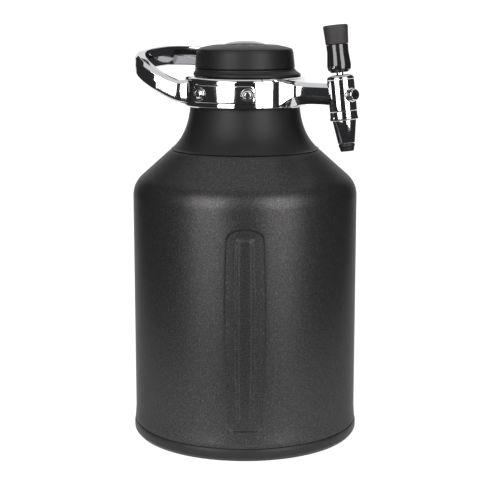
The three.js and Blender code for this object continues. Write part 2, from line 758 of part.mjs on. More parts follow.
add('cartridge_sleeve', turned(sleeveOutline(), MEDIUM), steel);
add('gas_cartridge', turned(cartridgeOutline(), 16), steel);
const valveTop = PLUG_BOTTOM - GAP;
const valveOutline = [[0, valveTop - 2.4], [1.6, valveTop - 2.4], [3.6, valveTop - 1], [3.6, valveTop], [0, valveTop]];
const checkValve = turned(valveOutline, 12);
add('check_valve', checkValve.translate(-22.5, 0, 0), rubber);

// ---------------------------------------------------------------- tap
const tap = new THREE.Group();
tap.position.set(TAP_X, 0, TAP_Z);
tap.rotation.y = -TAP_LEAN;
tap.scale.setScalar(TAP_SCALE);
armSide.add(tap);

const LEVER_SLOT = { from: -3.2, to: 8.7, halfWidth: 3.1 };

function buildTapBody() {
  const shoulderLow = -3;
  const outline = [
    [TAP_LOWER_BORE, TAP_BODY_LOW],
    [TAP_RADIUS, TAP_BODY_LOW],
    [TAP_RADIUS, TAP_BODY_HIGH],
    [TAP_CAVITY, TAP_BODY_HIGH],
    [TAP_CAVITY, shoulderLow],
    [TAP_LOWER_BORE, shoulderLow],
  ];
  const inlet = alongX(bar((SHANK_RADIUS + GAP) / TAP_SCALE, -20, 0));
  const drop = (ARM_HEIGHT - TAP_Z) / TAP_SCALE;
  inlet.rotateY(TAP_LEAN);
  inlet.translate(drop * Math.sin(TAP_LEAN), 0, drop * Math.cos(TAP_LEAN));
  const plugHole = radialBar(3.3, SIDE_PLUG.angle, 4, 20, SIDE_PLUG.height);
  return surface(solid(turned(outline, MEDIUM)).subtract(solid(inlet)).subtract(solid(plugHole)));
}

function buildBonnet() {
  const round = 3.2;
  const ring = solid(turned([
    [0, TAP_BODY_HIGH + GAP],
    [TAP_RADIUS, TAP_BODY_HIGH + GAP],
    ...arc(TAP_RADIUS - round, BONNET_TOP - round, round, 0, 90, 3),
    [0, BONNET_TOP],
  ], MEDIUM));
  const { from, to, halfWidth } = LEVER_SLOT;
  const slot = rectangle(to - from, 2 * halfWidth, 2.6);
  const block = new THREE.ExtrudeGeometry(slot, { depth: 20, bevelEnabled: false, curveSegments: 3 });
  block.translate((from + to) / 2, 0, 5);
  return surface(ring.subtract(solid(block)));
}

function buildNozzleSeat() {
  const lip = 10.8;
  return turned([
    [TAP_LOWER_BORE, NOZZLE_SEAT_LOW],
    [lip - 1, NOZZLE_SEAT_LOW],
    [lip, NOZZLE_SEAT_LOW + 1],
    [lip, NOZZLE_SEAT_LOW + 1.9],
    [TAP_RADIUS + 0.2, NOZZLE_SEAT_LOW + 2.4],
    [TAP_RADIUS + 0.2, TAP_BODY_LOW - GAP],
    [TAP_LOWER_BORE, TAP_BODY_LOW - GAP],
  ], MEDIUM);
}

function buildSpout() {
  const bore = 3.6;
  return turned([
    [bore, CONE_LOW],
    [6.3, CONE_LOW],
    [8.4, NOZZLE_SEAT_LOW - 4],
    [9, NOZZLE_SEAT_LOW - GAP],
    [bore, NOZZLE_SEAT_LOW - GAP],
  ], MEDIUM);
}

function buildTip() {
  const bore = 3.6;
  return turned([
    [bore, TIP_LOW],
    [4.5, TIP_LOW],
    [5, TIP_LOW + 0.5],
    [6.1, CONE_LOW - GAP],
    [bore, CONE_LOW - GAP],
  ], MEDIUM);
}

const SIDE_PLUG = { angle: 339, height: -0.3 };

// A round knurl-free plug screw whose head stands out of the tap's front.
function buildSidePlug() {
  const head = solid(alongX(turned([
    [0, 5.6], [3, 5.6], [3, 9], [5.3, 10], [5.3, 11.6], [4.4, 12.4], [4.4, 14.6], [3.7, 15.4],
    [1.5, 15.4], [1.5, 13.8], [0, 13.8],
  ], 16)));
  const clear = solid(bar(TAP_RADIUS + GAP, -12, 12, MEDIUM)).subtract(solid(alongX(bar(3, 2, 20))));
  const piece = surface(head.subtract(clear));
  piece.rotateZ(THREE.MathUtils.degToRad(SIDE_PLUG.angle));
  return piece.translate(0, 0, SIDE_PLUG.height);
}

function leverOutline() {
  const ball = 4.6;
  const finger = 2;
  return [
    [0, PIVOT - 4.6], [finger, PIVOT - 4.4], ...arc(0, PIVOT, ball, -55, 50, 4),
    [STEM_RADIUS, PIVOT + 6], [STEM_RADIUS, HANDLE_LOW + 15], [0, HANDLE_LOW + 15],
  ];
}

function handleOutline() {
  const bore = STEM_RADIUS + GAP;
  return [
    [bore, HANDLE_LOW], [6.6, HANDLE_LOW], [8.5, HANDLE_LOW + 1.8], [9.05, HANDLE_LOW + 5],
    [8.6, HANDLE_LOW + 10], [8.1, HANDLE_LOW + 15], [8.3, HANDLE_HIGH], [0, HANDLE_HIGH],
    [0, HANDLE_LOW + 15.5], [bore, HANDLE_LOW + 15.5],
  ];
}

const HANDLE_SCREW = { angle: 264.5, height: 21 };

function buildHandle() {
  const { angle, height } = HANDLE_SCREW;
  const outline = handleOutline();
  const start = outline.findIndex(([radius]) => radius === 0);
  const fromAxis = [...outline.slice(start + 1), ...outline.slice(0, start + 1)];
  const body = solid(turned([[0, HANDLE_LOW + 15.5], ...fromAxis.slice(1)], MEDIUM));
  return surface(body.subtract(solid(radialBar(1.8, angle, 1, 20, height, 10))));
}

const sleeveLow = HANDLE_HIGH + GAP;
const gripOutline = [[0, sleeveLow], [8.5, sleeveLow], [9.3, SLEEVE_HIGH - 0.9], [8.5, SLEEVE_HIGH], [0, SLEEVE_HIGH]];
const plungerOutline = [
  [0, -18.4], [2, -18.4], [2, -15.8], [4.8, -15.6], [4.8, -13.8], [2, -13.8], [2, -5.6], [0, -5.6],
];

add('tap_body', buildTapBody(), chrome, tap);
add('tap_bonnet', buildBonnet(), chrome, tap);
add('tap_seat', buildNozzleSeat(), chrome, tap);
add('tap_spout', buildSpout(), chrome, tap);
add('spout_tip', buildTip(), rubber, tap);
add('side_plug', buildSidePlug(), chrome, tap);
add('tap_lever', turned(leverOutline(), MEDIUM), chrome, tap);
add('tap_handle', buildHandle(), glossBlack, tap);
add('tap_grip', turned(gripOutline, MEDIUM), gripRubber, tap);
const { angle: screwAngle, height: screwHeight } = HANDLE_SCREW;
add('handle_set_screw', radialBar(1.5, screwAngle, STEM_RADIUS + GAP, 8.7, screwHeight, 10), steel, tap);
add('valve_plunger', turned(plungerOutline, 16), steel, tap);
add('valve_seal', tube(4.6, 2.3, -18.2, -16, 16), rubber, tap);
add('valve_spring', spring(3.6, 0.5, -13.5, -7.4, 3), steel, tap);
add('spring_retainer', tube(5.1, 2.4, -7.1, -6.2, 16), steel, tap);

export default keg;
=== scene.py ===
import json
import math

import bmesh
import bpy
from mathutils import Matrix, Vector


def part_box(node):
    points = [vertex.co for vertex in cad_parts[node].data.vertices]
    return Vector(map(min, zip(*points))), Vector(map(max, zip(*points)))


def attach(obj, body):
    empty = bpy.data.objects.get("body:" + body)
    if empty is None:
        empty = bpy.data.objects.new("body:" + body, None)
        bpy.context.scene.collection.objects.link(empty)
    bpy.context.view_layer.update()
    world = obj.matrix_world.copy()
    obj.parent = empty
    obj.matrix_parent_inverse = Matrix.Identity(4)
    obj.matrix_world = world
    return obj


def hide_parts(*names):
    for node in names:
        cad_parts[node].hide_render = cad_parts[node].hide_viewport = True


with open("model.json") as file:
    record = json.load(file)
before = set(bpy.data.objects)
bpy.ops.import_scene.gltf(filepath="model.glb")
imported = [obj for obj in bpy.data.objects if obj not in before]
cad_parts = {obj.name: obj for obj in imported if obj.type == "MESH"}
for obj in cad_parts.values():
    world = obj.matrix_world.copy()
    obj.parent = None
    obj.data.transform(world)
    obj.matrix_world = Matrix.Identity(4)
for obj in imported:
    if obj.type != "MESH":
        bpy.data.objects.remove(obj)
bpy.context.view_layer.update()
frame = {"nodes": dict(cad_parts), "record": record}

MM = 0.001


def box_mm(node):
    """A CAD node's lowest and highest corners in millimetres."""
    low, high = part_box(node)
    return low / MM, high / MM


# ------------------------------------------------------------------ driving sizes, in millimetres
BODY_RADIUS = 84.0
SHELL_LOW = box_mm("outer_shell")[0].z
SHELL_FLARE, SHELL_FLARE_HEIGHT = 0.6, 12
SHOULDER_START = 182.8
SHOULDER_ROUND = 19.0
SHOULDER_SLOPE = math.radians(48.6)
SHOULDER_END = 216.8
SHELL_WALL = 1.6

BOOT_RADIUS = box_mm("base_boot")[1].x
BOOT_TOP = box_mm("base_boot")[1].z

CONE_TOP = box_mm("neck_cone")[1].z
CONE_FOOT_RADIUS = box_mm("neck_cone")[1].x
CONE_TOP_RADIUS = 40.9
CONE_WALL = 2.2

NECK_RADIUS = 34.7
COLLAR_BORE = NECK_RADIUS + 0.4
COLLAR_RADIUS = 45.3
COLLAR_LOW = box_mm("handle_collar")[0].z
COLLAR_TOP = box_mm("tap_collar")[1].z
ARM_ANGLE = -33.0       # degrees from +X to the way the arm points
SPLIT_ANGLE = 41.2      # degrees either side of the arm where the collar is split
SPLIT_TRIM = 0.45       # half the split's gap, in degrees

PLATE_LOW, PLATE_HIGH = box_mm("clamp_plate")[0].z, box_mm("clamp_plate")[1].z
PLATE_MIDDLE = (PLATE_LOW + PLATE_HIGH) / 2
PLATE_PROUD = 0.8
PLATE_DEPTH = 1.5
PLATE_EDGE = 1.0
PLATE_CLEARANCE = 0.6
FRONT_PLATE = {"angle": 247.5, "width": 49.9, "screws": (225, 272.3)}
REAR_PLATE = {"angle": 46.5, "width": 49.9, "screws": (21.7, 69)}
SCREW_SEAT = COLLAR_RADIUS + 0.9
WASHER_THICKNESS = 0.7

FLANGE_LOW, FLANGE_TOP = box_mm("neck_flange")[0].z, box_mm("neck_flange")[1].z
FLANGE_TOP_RADIUS = 37.3
FLANGE_LOW_RADIUS = box_mm("neck_flange")[1].y
FLANGE_SHIFT = 1.9
MOUTH_RADIUS = 31.6
GASKET_SEAT_RADIUS = 35.0
GASKET_SEAT = 274.4

CAP_LOW, CAP_TOP = box_mm("cap_shell")[0].z, box_mm("cap_shell")[1].z
CAP_RADIUS = box_mm("cap_shell")[1].x
CAP_SHOULDER_RADIUS = 35.9
CAP_SHOULDER = 288.6
CAP_WALL = 2.5
DIAL_RADIUS = box_mm("pressure_dial")[1].x
DIAL_TOP = box_mm("pressure_dial")[1].z
DIAL_EDGE = 294.6
DIAL_LOW = CAP_TOP - 2.4

ARM_SCREW_REACH = 64
TAP_ORIGIN = Vector((82.3, 0, 259.6))       # along the arm, across it and up
TAP_LEAN = math.radians(7.14)
TAP_SCALE = 0.955                           # the sizes below are multiplied by this
TAP_RADIUS = 10.3
TAP_CAVITY_RADIUS = 7.2
TAP_BORE = 3.6
TAP_BODY_LOW, TAP_BODY_TOP = -11.6, 11.6    # heights along the tap's axis
SEAT_LOW, SEAT_TOP = -18.3, -11.9
BONNET_LOW, BONNET_TOP, BONNET_ROUND = 11.9, 15.3, 3.2
SPOUT_TOP, SPOUT_LOW = -18.6, -35.7
TIP_TOP, TIP_LOW = -36.0, -41.8
LEVER_PIVOT = 3.1
STEM_RADIUS = 2.6
HANDLE_BORE = 2.9
HANDLE_LOW, HANDLE_TOP = 17.1, 37.7
GRIP_LOW, GRIP_TOP = 38.0, 52.1
SIDE_PLUG = {"angle": 339, "height": -0.3}
HANDLE_SCREW = {"angle": 264.5, "height": 21}


# ------------------------------------------------------------------ shapes: (vertices, faces) in mm
def softened(outline, steps=4):
    """Rounds each corner of a [radius, height, rounding] outline; corners without a rounding stay."""
    made = []
    count = len(outline)
    for i, point in enumerate(outline):
        here = Vector(point[:2])
        rounding = point[2] if len(point) > 2 else 0
        before = Vector(outline[i - 1][:2]) - here
        after = Vector(outline[(i + 1) % count][:2]) - here
        if rounding <= 0 or before.length < 1e-6 or after.length < 1e-6:
            made.append(here)
            continue
        angle = before.angle(after)
        if angle > math.pi - 0.02:
            made.append(here)
            continue
        reach = min(rounding / math.tan(angle / 2), before.length * 0.49, after.length * 0.49)
        radius = reach * math.tan(angle / 2)
        start = here + before.normalized() * reach
        end = here + after.normalized() * reach
        centre = here + (before.normalized() + after.normalized()).normalized() * (
            radius / math.sin(angle / 2))
        first, last = start - centre, end - centre
        sweep = first.angle_signed(last)
        for k in range(steps + 1):
            turn = -sweep * k / steps
            c, s = math.cos(turn), math.sin(turn)
            made.append(centre + Vector((first.x * c - first.y * s, first.x * s + first.y * c)))
    return made


def arc(radius, height, rounding, start, end, steps):
    """Points of an arc in the radius-height plane, angles in degrees from the outward direction."""
    points = []
    for i in range(steps + 1):
        angle = math.radians(start + (end - start) * i / steps)
        points.append((radius + rounding * math.cos(angle), height + rounding * math.sin(angle)))
    return points


def turned(outline, segments=96, steps=4, warp=None):
    """Revolves an outline about +Z. It starts and ends on the axis, or closes on itself."""
    points = softened(outline, steps)
    on_axis = points[0].x < 1e-6 and points[-1].x < 1e-6
    verts, faces, rings = [], [], []
    for i, point in enumerate(points):
        if point.x < 1e-6:
            rings.append([len(verts)] * segments)
            verts.append(Vector((0, 0, point.y)))
            continue
        ring = []
        for j in range(segments):
            angle = 2 * math.pi * j / segments
            radius = point.x * (warp(i, angle) if warp else 1)
            ring.append(len(verts))
            verts.append(Vector((radius * math.cos(angle), radius * math.sin(angle), point.y)))
        rings.append(ring)
    pairs = list(zip(rings, rings[1:]))
    if not on_axis:
        pairs.append((rings[-1], rings[0]))
    for low, high in pairs:
        for j in range(segments):
            k = (j + 1) % segments
            corners = [low[j], low[k], high[k], high[j]]
            face = [c for n, c in enumerate(corners) if c != corners[n - 1]]
            if len(face) > 2:
                faces.append(face)
    return verts, faces


def loft(rings, closed_ends=True):
    """Joins rings of points with the same count into one tube, capped at both ends."""
    count = len(rings[0])
    verts = [Vector(p) for ring in rings for p in ring]
    faces = []
    for i in range(len(rings) - 1):
        for j in range(count):
            k = (j + 1) % count
            a, b = i * count, (i + 1) * count
            faces.append([a + j, a + k, b + k, b + j])
    if closed_ends:
        last = (len(rings) - 1) * count
        faces.append(list(range(count - 1, -1, -1)))
        faces.append([last + j for j in range(count)])
    return verts, faces


def moved(shape, matrix):
    verts, faces = shape
    return [matrix @ v for v in verts], faces


def turn_about_z(angle):
    return Matrix.Rotation(math.radians(angle), 4, "Z")


def radial_place(angle, reach, height):
    """Stands a shape made along +Z out from the Z axis at an angle from +X, in degrees."""
    onto_x = Matrix.Rotation(math.pi / 2, 4, "Y")
    return turn_about_z(angle) @ Matrix.Translation((reach, 0, height)) @ onto_x


def arm_place():
    """Turns a shape made along +X to lie along the tap arm."""
    return turn_about_z(ARM_ANGLE)


def tap_place():
    """Puts a shape made about +Z on the tap's leaning axis."""
    lean = Matrix.Rotation(-TAP_LEAN, 4, "Y")
    return arm_place() @ Matrix.Translation(TAP_ORIGIN) @ lean @ Matrix.Scale(TAP_SCALE, 4)


def rounded_loop(width, height, corner, steps=5):
    """A rounded rectangle's points round the origin."""
    points = []
    for sx, sy, start in ((1, -1, -90), (1, 1, 0), (-1, 1, 90), (-1, -1, 180)):
        cx, cy = sx * (width / 2 - corner), sy * (height / 2 - corner)
        for k in range(steps + 1):
            angle = math.radians(start + 90 * k / steps)
            points.append((cx + corner * math.cos(angle), cy + corner * math.sin(angle)))
    return points


# ------------------------------------------------------------------ pieces
def mesh_object(name, shape, merge_distance=0.0):
    """A Blender object with a shape's mesh in metres, its faces turned outwards."""
    verts, faces = shape
    mesh = bpy.data.meshes.new(name)
    mesh.from_pydata([v * MM for v in verts], [], faces)
    clean = bmesh.new()
    clean.from_mesh(mesh)
    if merge_distance:
        bmesh.ops.remove_doubles(clean, verts=clean.verts, dist=merge_distance)
    bmesh.ops.recalc_face_normals(clean, faces=clean.faces)
    clean.to_mesh(mesh)
    clean.free()
    made = bpy.data.objects.new(name, mesh)
    bpy.context.scene.collection.objects.link(made)
    return made


def piece(name, shape, body, material, replaces=(), sharp=38):
    """Makes a piece from a shape in millimetres, and puts it on its body."""
    made = mesh_object(name, shape, merge_distance=1e-7)
    made.data.shade_smooth()
    made.data.set_sharp_from_angle(angle=math.radians(sharp))
    made.data.materials.append(material)
    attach(made, body)
    if replaces:
        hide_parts(*replaces)
    return made


def combined(base, other, operation):
    """The mesh of two shapes joined or cut, as a new shape in millimetres."""
    first, second = mesh_object("cutter", base), mesh_object("cutter", other)
    modifier = first.modifiers.new("cut", "BOOLEAN")
    modifier.operation = operation
    modifier.solver = "EXACT"
    modifier.object = second
    graph = bpy.context.evaluated_depsgraph_get()
    graph.update()
    mesh = bpy.data.meshes.new_from_object(first.evaluated_get(graph))
    verts = [v.co / MM for v in mesh.vertices]
    faces = [list(p.vertices) for p in mesh.polygons]
    for made in (first, second):
        old = made.data
        bpy.data.objects.remove(made)
        bpy.data.meshes.remove(old)
    bpy.data.meshes.remove(mesh)
    return verts, faces


def cut(base, *cutters):
    for cutter in cutters:
        base = combined(base, cutter, "DIFFERENCE")
    return base


# ------------------------------------------------------------------ materials
def new_material(name):
    material = bpy.data.materials.new(name)
    material.use_nodes = True
    return material, material.node_tree, material.node_tree.nodes["Principled BSDF"]


def coordinates(tree):
    return tree.nodes.new("ShaderNodeTexCoord").outputs["Object"]


def noise(tree, scale, detail=4, roughness=0.55, stretch=None):
    """A noise texture in object space, sized in repeats per metre."""
    texture = tree.nodes.new("ShaderNodeTexNoise")
    texture.inputs["Scale"].default_value = scale
    texture.inputs["Detail"].default_value = detail
    texture.inputs["Roughness"].default_value = roughness
    place = coordinates(tree)
    if stretch:
        mapping = tree.nodes.new("ShaderNodeMapping")
        mapping.inputs["Scale"].default_value = stretch
        tree.links.new(place, mapping.inputs["Vector"])
        place = mapping.outputs["Vector"]
    tree.links.new(place, texture.inputs["Vector"])
    return texture.outputs["Fac"]


def spread(tree, value, low, high, start=0.0, end=1.0):
    node = tree.nodes.new("ShaderNodeMapRange")
    node.inputs["From Min"].default_value = start
    node.inputs["From Max"].default_value = end
    node.inputs["To Min"].default_value = low
    node.inputs["To Max"].default_value = high
    tree.links.new(value, node.inputs["Value"])
    return node.outputs["Result"]


def set_tone(tree, shader, value, stops):
    """Colours the base by a value, through a ramp of (place, colour) stops."""
    ramp = tree.nodes.new("ShaderNodeValToRGB")
    elements = ramp.color_ramp.elements
    while len(elements) < len(stops):
        elements.new(0.5)
    for element, (place, colour) in zip(elements, stops):
        element.position = place
        element.color = (*colour, 1)
    tree.links.new(value, ramp.inputs["Fac"])
    tree.links.new(ramp.outputs["Color"], shader.inputs["Base Color"])


def set_roughness(tree, shader, value, low, high, start=0.0, end=1.0):
    tree.links.new(spread(tree, value, low, high, start, end), shader.inputs["Roughness"])


def set_relief(tree, shader, *layers):
    """Stacks bumps, each a (height, strength, distance in metres), from the coarsest to the finest."""
    under = None
    for height, strength, distance in layers:
        node = tree.nodes.new("ShaderNodeBump")
        node.inputs["Strength"].default_value = strength
        node.inputs["Distance"].default_value = distance
        tree.links.new(height, node.inputs["Height"])
        if under:
            tree.links.new(under, node.inputs["Normal"])
        under = node.outputs["Normal"]
    tree.links.new(under, shader.inputs["Normal"])


def powder_coat():
    """Dark grey powder coat: a fine pebbled skin with a slight metallic speckle."""
    material, tree, shader = new_material("powder_coat")
    speckle = noise(tree, 1500, 3, 0.65)
    set_tone(tree, shader, speckle, [
        (0.30, (0.024, 0.0232, 0.0232)), (0.52, (0.040, 0.0388, 0.0388)), (0.72, (0.100, 0.097, 0.097)),
    ])
    set_roughness(tree, shader, noise(tree, 60, 3), 0.34, 0.40)
    shader.inputs["Metallic"].default_value = 0.7
    shader.inputs["Specular Tint"].default_value = (0.4, 0.4, 0.4, 1)
    set_relief(tree, shader, (noise(tree, 900, 3, 0.6), 0.35, 0.0002), (speckle, 0.25, 0.0001))
    return material


def satin_plastic():
    """Moulded black plastic with a fine satin texture."""
    material, tree, shader = new_material("satin_black")
    set_tone(tree, shader, noise(tree, 45, 3), [
        (0.3, (0.0075, 0.0070, 0.0072)), (0.7, (0.0110, 0.0102, 0.0106)),
    ])
    set_roughness(tree, shader, noise(tree, 120, 4), 0.42, 0.52)
    shader.inputs["Specular IOR Level"].default_value = 0.22
    set_relief(tree, shader, (noise(tree, 3200, 3), 0.18, 0.0001))
    return material


def gloss_plastic():
    """Polished black plastic with faint handling haze."""
    material, tree, shader = new_material("gloss_black")
    set_tone(tree, shader, noise(tree, 80, 3), [(0.3, (0.008, 0.008, 0.009)), (0.7, (0.014, 0.013, 0.014))])
    set_roughness(tree, shader, noise(tree, 160, 5), 0.07, 0.16)
    shader.inputs["Coat Weight"].default_value = 0.4
    shader.inputs["Coat Roughness"].default_value = 0.04
    set_relief(tree, shader, (noise(tree, 240, 2), 0.04, 0.0002))
    return material


def rubber(name, dark, light, roughness):
    """Matte rubber with a faint bloom and a fine moulded grain."""
    material, tree, shader = new_material(name)
    set_tone(tree, shader, noise(tree, 220, 5), [(0.3, dark), (0.72, light)])
    set_roughness(tree, shader, noise(tree, 90, 4), roughness - 0.06, roughness + 0.08)
    shader.inputs["Sheen Weight"].default_value = 0.03
    shader.inputs["Specular IOR Level"].default_value = 0.3
    set_relief(tree, shader, (noise(tree, 2400, 3, 0.6), 0.25, 0.00012))
    return material


def chrome():
    """Polished chrome plate over a casting: near-mirror, with faint haze, ripple and hairlines."""
    material, tree, shader = new_material("chrome_plate")
    set_tone(tree, shader, noise(tree, 70, 3), [(0.25, (0.52, 0.52, 0.53)), (0.75, (0.62, 0.62, 0.63))])
    shader.inputs["Metallic"].default_value = 1.0
    hairlines = noise(tree, 700, 6, 0.7, (1, 1, 0.12))
    mixed = tree.nodes.new("ShaderNodeMath")
    mixed.operation = "MULTIPLY"
    tree.links.new(hairlines, mixed.inputs[0])
    tree.links.new(noise(tree, 110, 5), mixed.inputs[1])
    set_roughness(tree, shader, mixed.outputs[0], 0.03, 0.13, 0.1, 0.5)
    set_relief(tree, shader, (noise(tree, 90, 2), 0.05, 0.0004), (hairlines, 0.03, 0.00005))
    return material


def bare_metal(name, marks, dark, light, smoothest, roughest, depth):
    """Uncoated metal whose tooling marks steer its colour, its roughness and its relief."""
    material, tree, shader = new_material(name)
    pattern = noise(tree, *marks)
    set_tone(tree, shader, pattern, [(0.3, dark), (0.7, light)])
    shader.inputs["Metallic"].default_value = 1.0
    set_roughness(tree, shader, pattern, smoothest, roughest)
    set_relief(tree, shader, (pattern, depth, 0.0001))
    return material


def brass():
    """Machined brass with a faint tarnish."""
    material, tree, shader = new_material("machined_brass")
    set_tone(tree, shader, noise(tree, 130, 5), [(0.3, (0.52, 0.36, 0.14)), (0.75, (0.68, 0.50, 0.22))])
    shader.inputs["Metallic"].default_value = 1.0
    turning = noise(tree, 600, 4, 0.6, (0.2, 0.2, 5))
    set_roughness(tree, shader, turning, 0.22, 0.36)
    set_relief(tree, shader, (turning, 0.1, 0.0001))
    return material


LATHE_BRUSHING = (500, 6, 0.7, (0.2, 0.2, 6))
TUMBLING_SCUFFS = (900, 5, 0.7)
POWDER = powder_coat()
SATIN = satin_plastic()
GLOSS = gloss_plastic()
RUBBER = rubber("black_rubber", (0.0045, 0.0042, 0.0044), (0.0085, 0.008, 0.0083), 0.5)
GRIP = rubber("grip_rubber", (0.022, 0.020, 0.0215), (0.034, 0.031, 0.033), 0.6)
CHROME = chrome()
STEEL = bare_metal("stainless_steel", LATHE_BRUSHING, (0.48, 0.48, 0.47), (0.62, 0.62, 0.61), 0.2, 0.36, 0.12)
SCREW = bare_metal("polished_steel", TUMBLING_SCUFFS, (0.62, 0.61, 0.60), (0.76, 0.75, 0.74), 0.1, 0.2, 0.08)
BRASS = brass()
FINISHES = {
    "powder_coat": POWDER, "satin_black_plastic": SATIN, "gloss_black_plastic": GLOSS,
    "black_rubber": RUBBER, "grip_rubber": GRIP, "chrome_casting": CHROME,
    "stainless_steel": STEEL, "brass": BRASS,
}


def dress_cad_nodes():
    """Gives each carried-over CAD node the material of its slot in the record."""
    for row in frame["record"]["subparts"]:
        mesh = frame["nodes"][row["node"]].data
        mesh.materials.clear()
        mesh.materials.append(FINISHES[row["material_slot"]])


# ------------------------------------------------------------------ body
def smooth(value):
    value = max(0.0, min(1.0, value))
    return value * value * (3 - 2 * value)


def cone_sweep(inset, steps):
    """The concave sweep from the shoulder seam to the collar, drawn in by a given amount."""
    a = Vector((CONE_FOOT_RADIUS - inset, SHOULDER_END + 0.3))
    b = Vector((CONE_FOOT_RADIUS - 8.2 - inset, SHOULDER_END + 7.2))
    c = Vector((CONE_TOP_RADIUS + 1.1 - inset, CONE_TOP - 14.4))
    d = Vector((CONE_TOP_RADIUS - inset, CONE_TOP))
    points = []
    for i in range(steps + 1):
        t = i / steps
        u = 1 - t
        point = a * u ** 3 + b * (3 * u * u * t) + c * (3 * u * t * t) + d * t ** 3
        points.append((point.x, point.y))
    return points


def shell_radius(z):
    """The outer shell's radius at a height."""
    flare_top = SHELL_LOW + SHELL_FLARE_HEIGHT
    if z < flare_top:
        return BODY_RADIUS + SHELL_FLARE * smooth((flare_top - z) / SHELL_FLARE_HEIGHT)
    if z < SHOULDER_START:
        return BODY_RADIUS
    rise = (z - SHOULDER_START) / SHOULDER_ROUND
    if rise < math.sin(SHOULDER_SLOPE):
        return BODY_RADIUS - SHOULDER_ROUND * (1 - math.sqrt(1 - rise * rise))
    start_z = SHOULDER_START + SHOULDER_ROUND * math.sin(SHOULDER_SLOPE)
    start_r = BODY_RADIUS - SHOULDER_ROUND * (1 - math.cos(SHOULDER_SLOPE))
    return start_r - (z - start_z) * (start_r - CONE_FOOT_RADIUS - 0.3) / (SHOULDER_END - start_z)


RELIEF_LOW, RELIEF_TOP, RELIEF_CROWN = 21.8, 165.2, 4.4
RELIEF_REACH = 20                           # nothing is pressed further from the middle than this
PANEL_HALF_WIDTHS = (11.6, 15.2, 13.6)      # at the foot, the middle and the top
PANEL_CORNER, PANEL_DEPTH, PANEL_SLOPE = 4, 1.4, 1.1
# the raised bar inside the panel, in two steps: half widths, foot, top, corner and rise
RIM = ((6.2, 7.8, 6.3), RELIEF_LOW + 6.2, 162.6, 2.2, 0.7)
SPINE = ((4.1, 4.9, 4.3), RELIEF_LOW + 7.4, 161.4, 1.2, 0.6)
STEP_SLOPE = 0.9


def bulge(z, low, middle, high):
    """A half width that swells from its ends to its middle."""
    t = (z - RELIEF_LOW) / (RELIEF_TOP - RELIEF_LOW)
    t = max(0.0, min(1.0, t))
    ends = low + (high - low) * t
    return ends + (middle - (low + high) / 2) * 4 * t * (1 - t)


def inside(s, z, half_width, low, high, corner):
    """Distance inside a rounded upright outline, in mm; negative outside."""
    dx = abs(s) - (half_width - corner)
    dz = max(z - (high - corner), (low + corner) - z)
    outer = math.hypot(max(dx, 0), max(dz, 0))
    return corner - outer - min(max(dx, dz), 0)


def relief(s, z):
    """How far the pressed front panel lies below the shell at an arc length s from its middle, in mm."""
    if abs(s) > RELIEF_REACH or not RELIEF_LOW - 3 < z < RELIEF_TOP + RELIEF_CROWN + 3:
        return 0.0
    crown = RELIEF_TOP + RELIEF_CROWN * (1 - (s / PANEL_HALF_WIDTHS[-1]) ** 2)
    panel = inside(s, z, bulge(z, *PANEL_HALF_WIDTHS), RELIEF_LOW, crown, PANEL_CORNER)
    depth = PANEL_DEPTH * smooth(panel / PANEL_SLOPE)
    for half_widths, low, high, corner, rise in (RIM, SPINE):
        depth -= rise * smooth(inside(s, z, bulge(z, *half_widths), low, high, corner) / STEP_SLOPE)
    return depth


SEAM_ROUND, SEAM_REACH = 0.35, 1.2          # how much the shell's top edge is rounded, and over what height
FOOT_ROUND, FOOT_REACH = 0.25, 1.5
LINING_GAP = 0.6


def shell_angles():
    """The shell's columns, as angles from its front: close together across the relief."""
    half_width, fine, coarse = 18.5, 92, 84
    front = [(-half_width + 2 * half_width * i / fine) / BODY_RADIUS for i in range(fine + 1)]
    gap = 2 * math.pi - (front[-1] - front[0])
    return front + [front[-1] + gap * i / coarse for i in range(1, coarse)]


def shell_heights():
    """The heights of the shell's rings: close together at the ends of the relief and up the shoulder."""
    above_foot, below_crown, above_crown = 34, 158, 171
    spans = [
        (SHELL_LOW, 1.5), (RELIEF_LOW - 1, 0.4), (above_foot, 2.2), (below_crown, 0.4), (above_crown, 2.5),
        (SHOULDER_START, 1.1), (SHOULDER_END - SEAM_REACH, None),
    ]
    heights = []
    for (start, step), (end, _) in zip(spans, spans[1:]):
        count = max(1, round((end - start) / step))
        heights += [start + (end - start) * i / count for i in range(count)]
    return heights + [SHOULDER_END - below for below in (SEAM_REACH, 0.7, 0.3, 0)]


def shell_lining():
    """The shell's inner side, as (radius, height) from the neck down to the foot."""
    neck_gap = 0.5
    lining = cone_sweep(CONE_WALL + neck_gap, 8) + cone_sweep(CONE_WALL + neck_gap + SHELL_WALL, 8)[::-1]
    inner_round = SHOULDER_ROUND - SHELL_WALL - LINING_GAP
    slope = math.degrees(SHOULDER_SLOPE)
    lining += arc(BODY_RADIUS - SHOULDER_ROUND, SHOULDER_START, inner_round, slope, 0, 8)
    return lining + [(BODY_RADIUS - SHELL_WALL - LINING_GAP, SHELL_LOW)]


def shell_shape():
    """The outer shell: its outside with the pressed front relief, closed by its inner side."""
    angles = shell_angles()
    rings = []
    for z in shell_heights():
        seam = SEAM_ROUND * smooth(1 - (SHOULDER_END - z) / SEAM_REACH)
        foot = FOOT_ROUND * smooth(1 - (z - SHELL_LOW) / FOOT_REACH)
        ring = []
        for angle in angles:
            turn = angle if angle < math.pi else angle - 2 * math.pi
            radius = shell_radius(z) - seam - foot - relief(turn * BODY_RADIUS, z)
            ring.append((radius * math.sin(angle), -radius * math.cos(angle), z))
        rings.append(ring)
    for radius, z in shell_lining():
        rings.append([(radius * math.sin(angle), -radius * math.cos(angle), z) for angle in angles])
    return loft(rings + rings[:1], closed_ends=False)


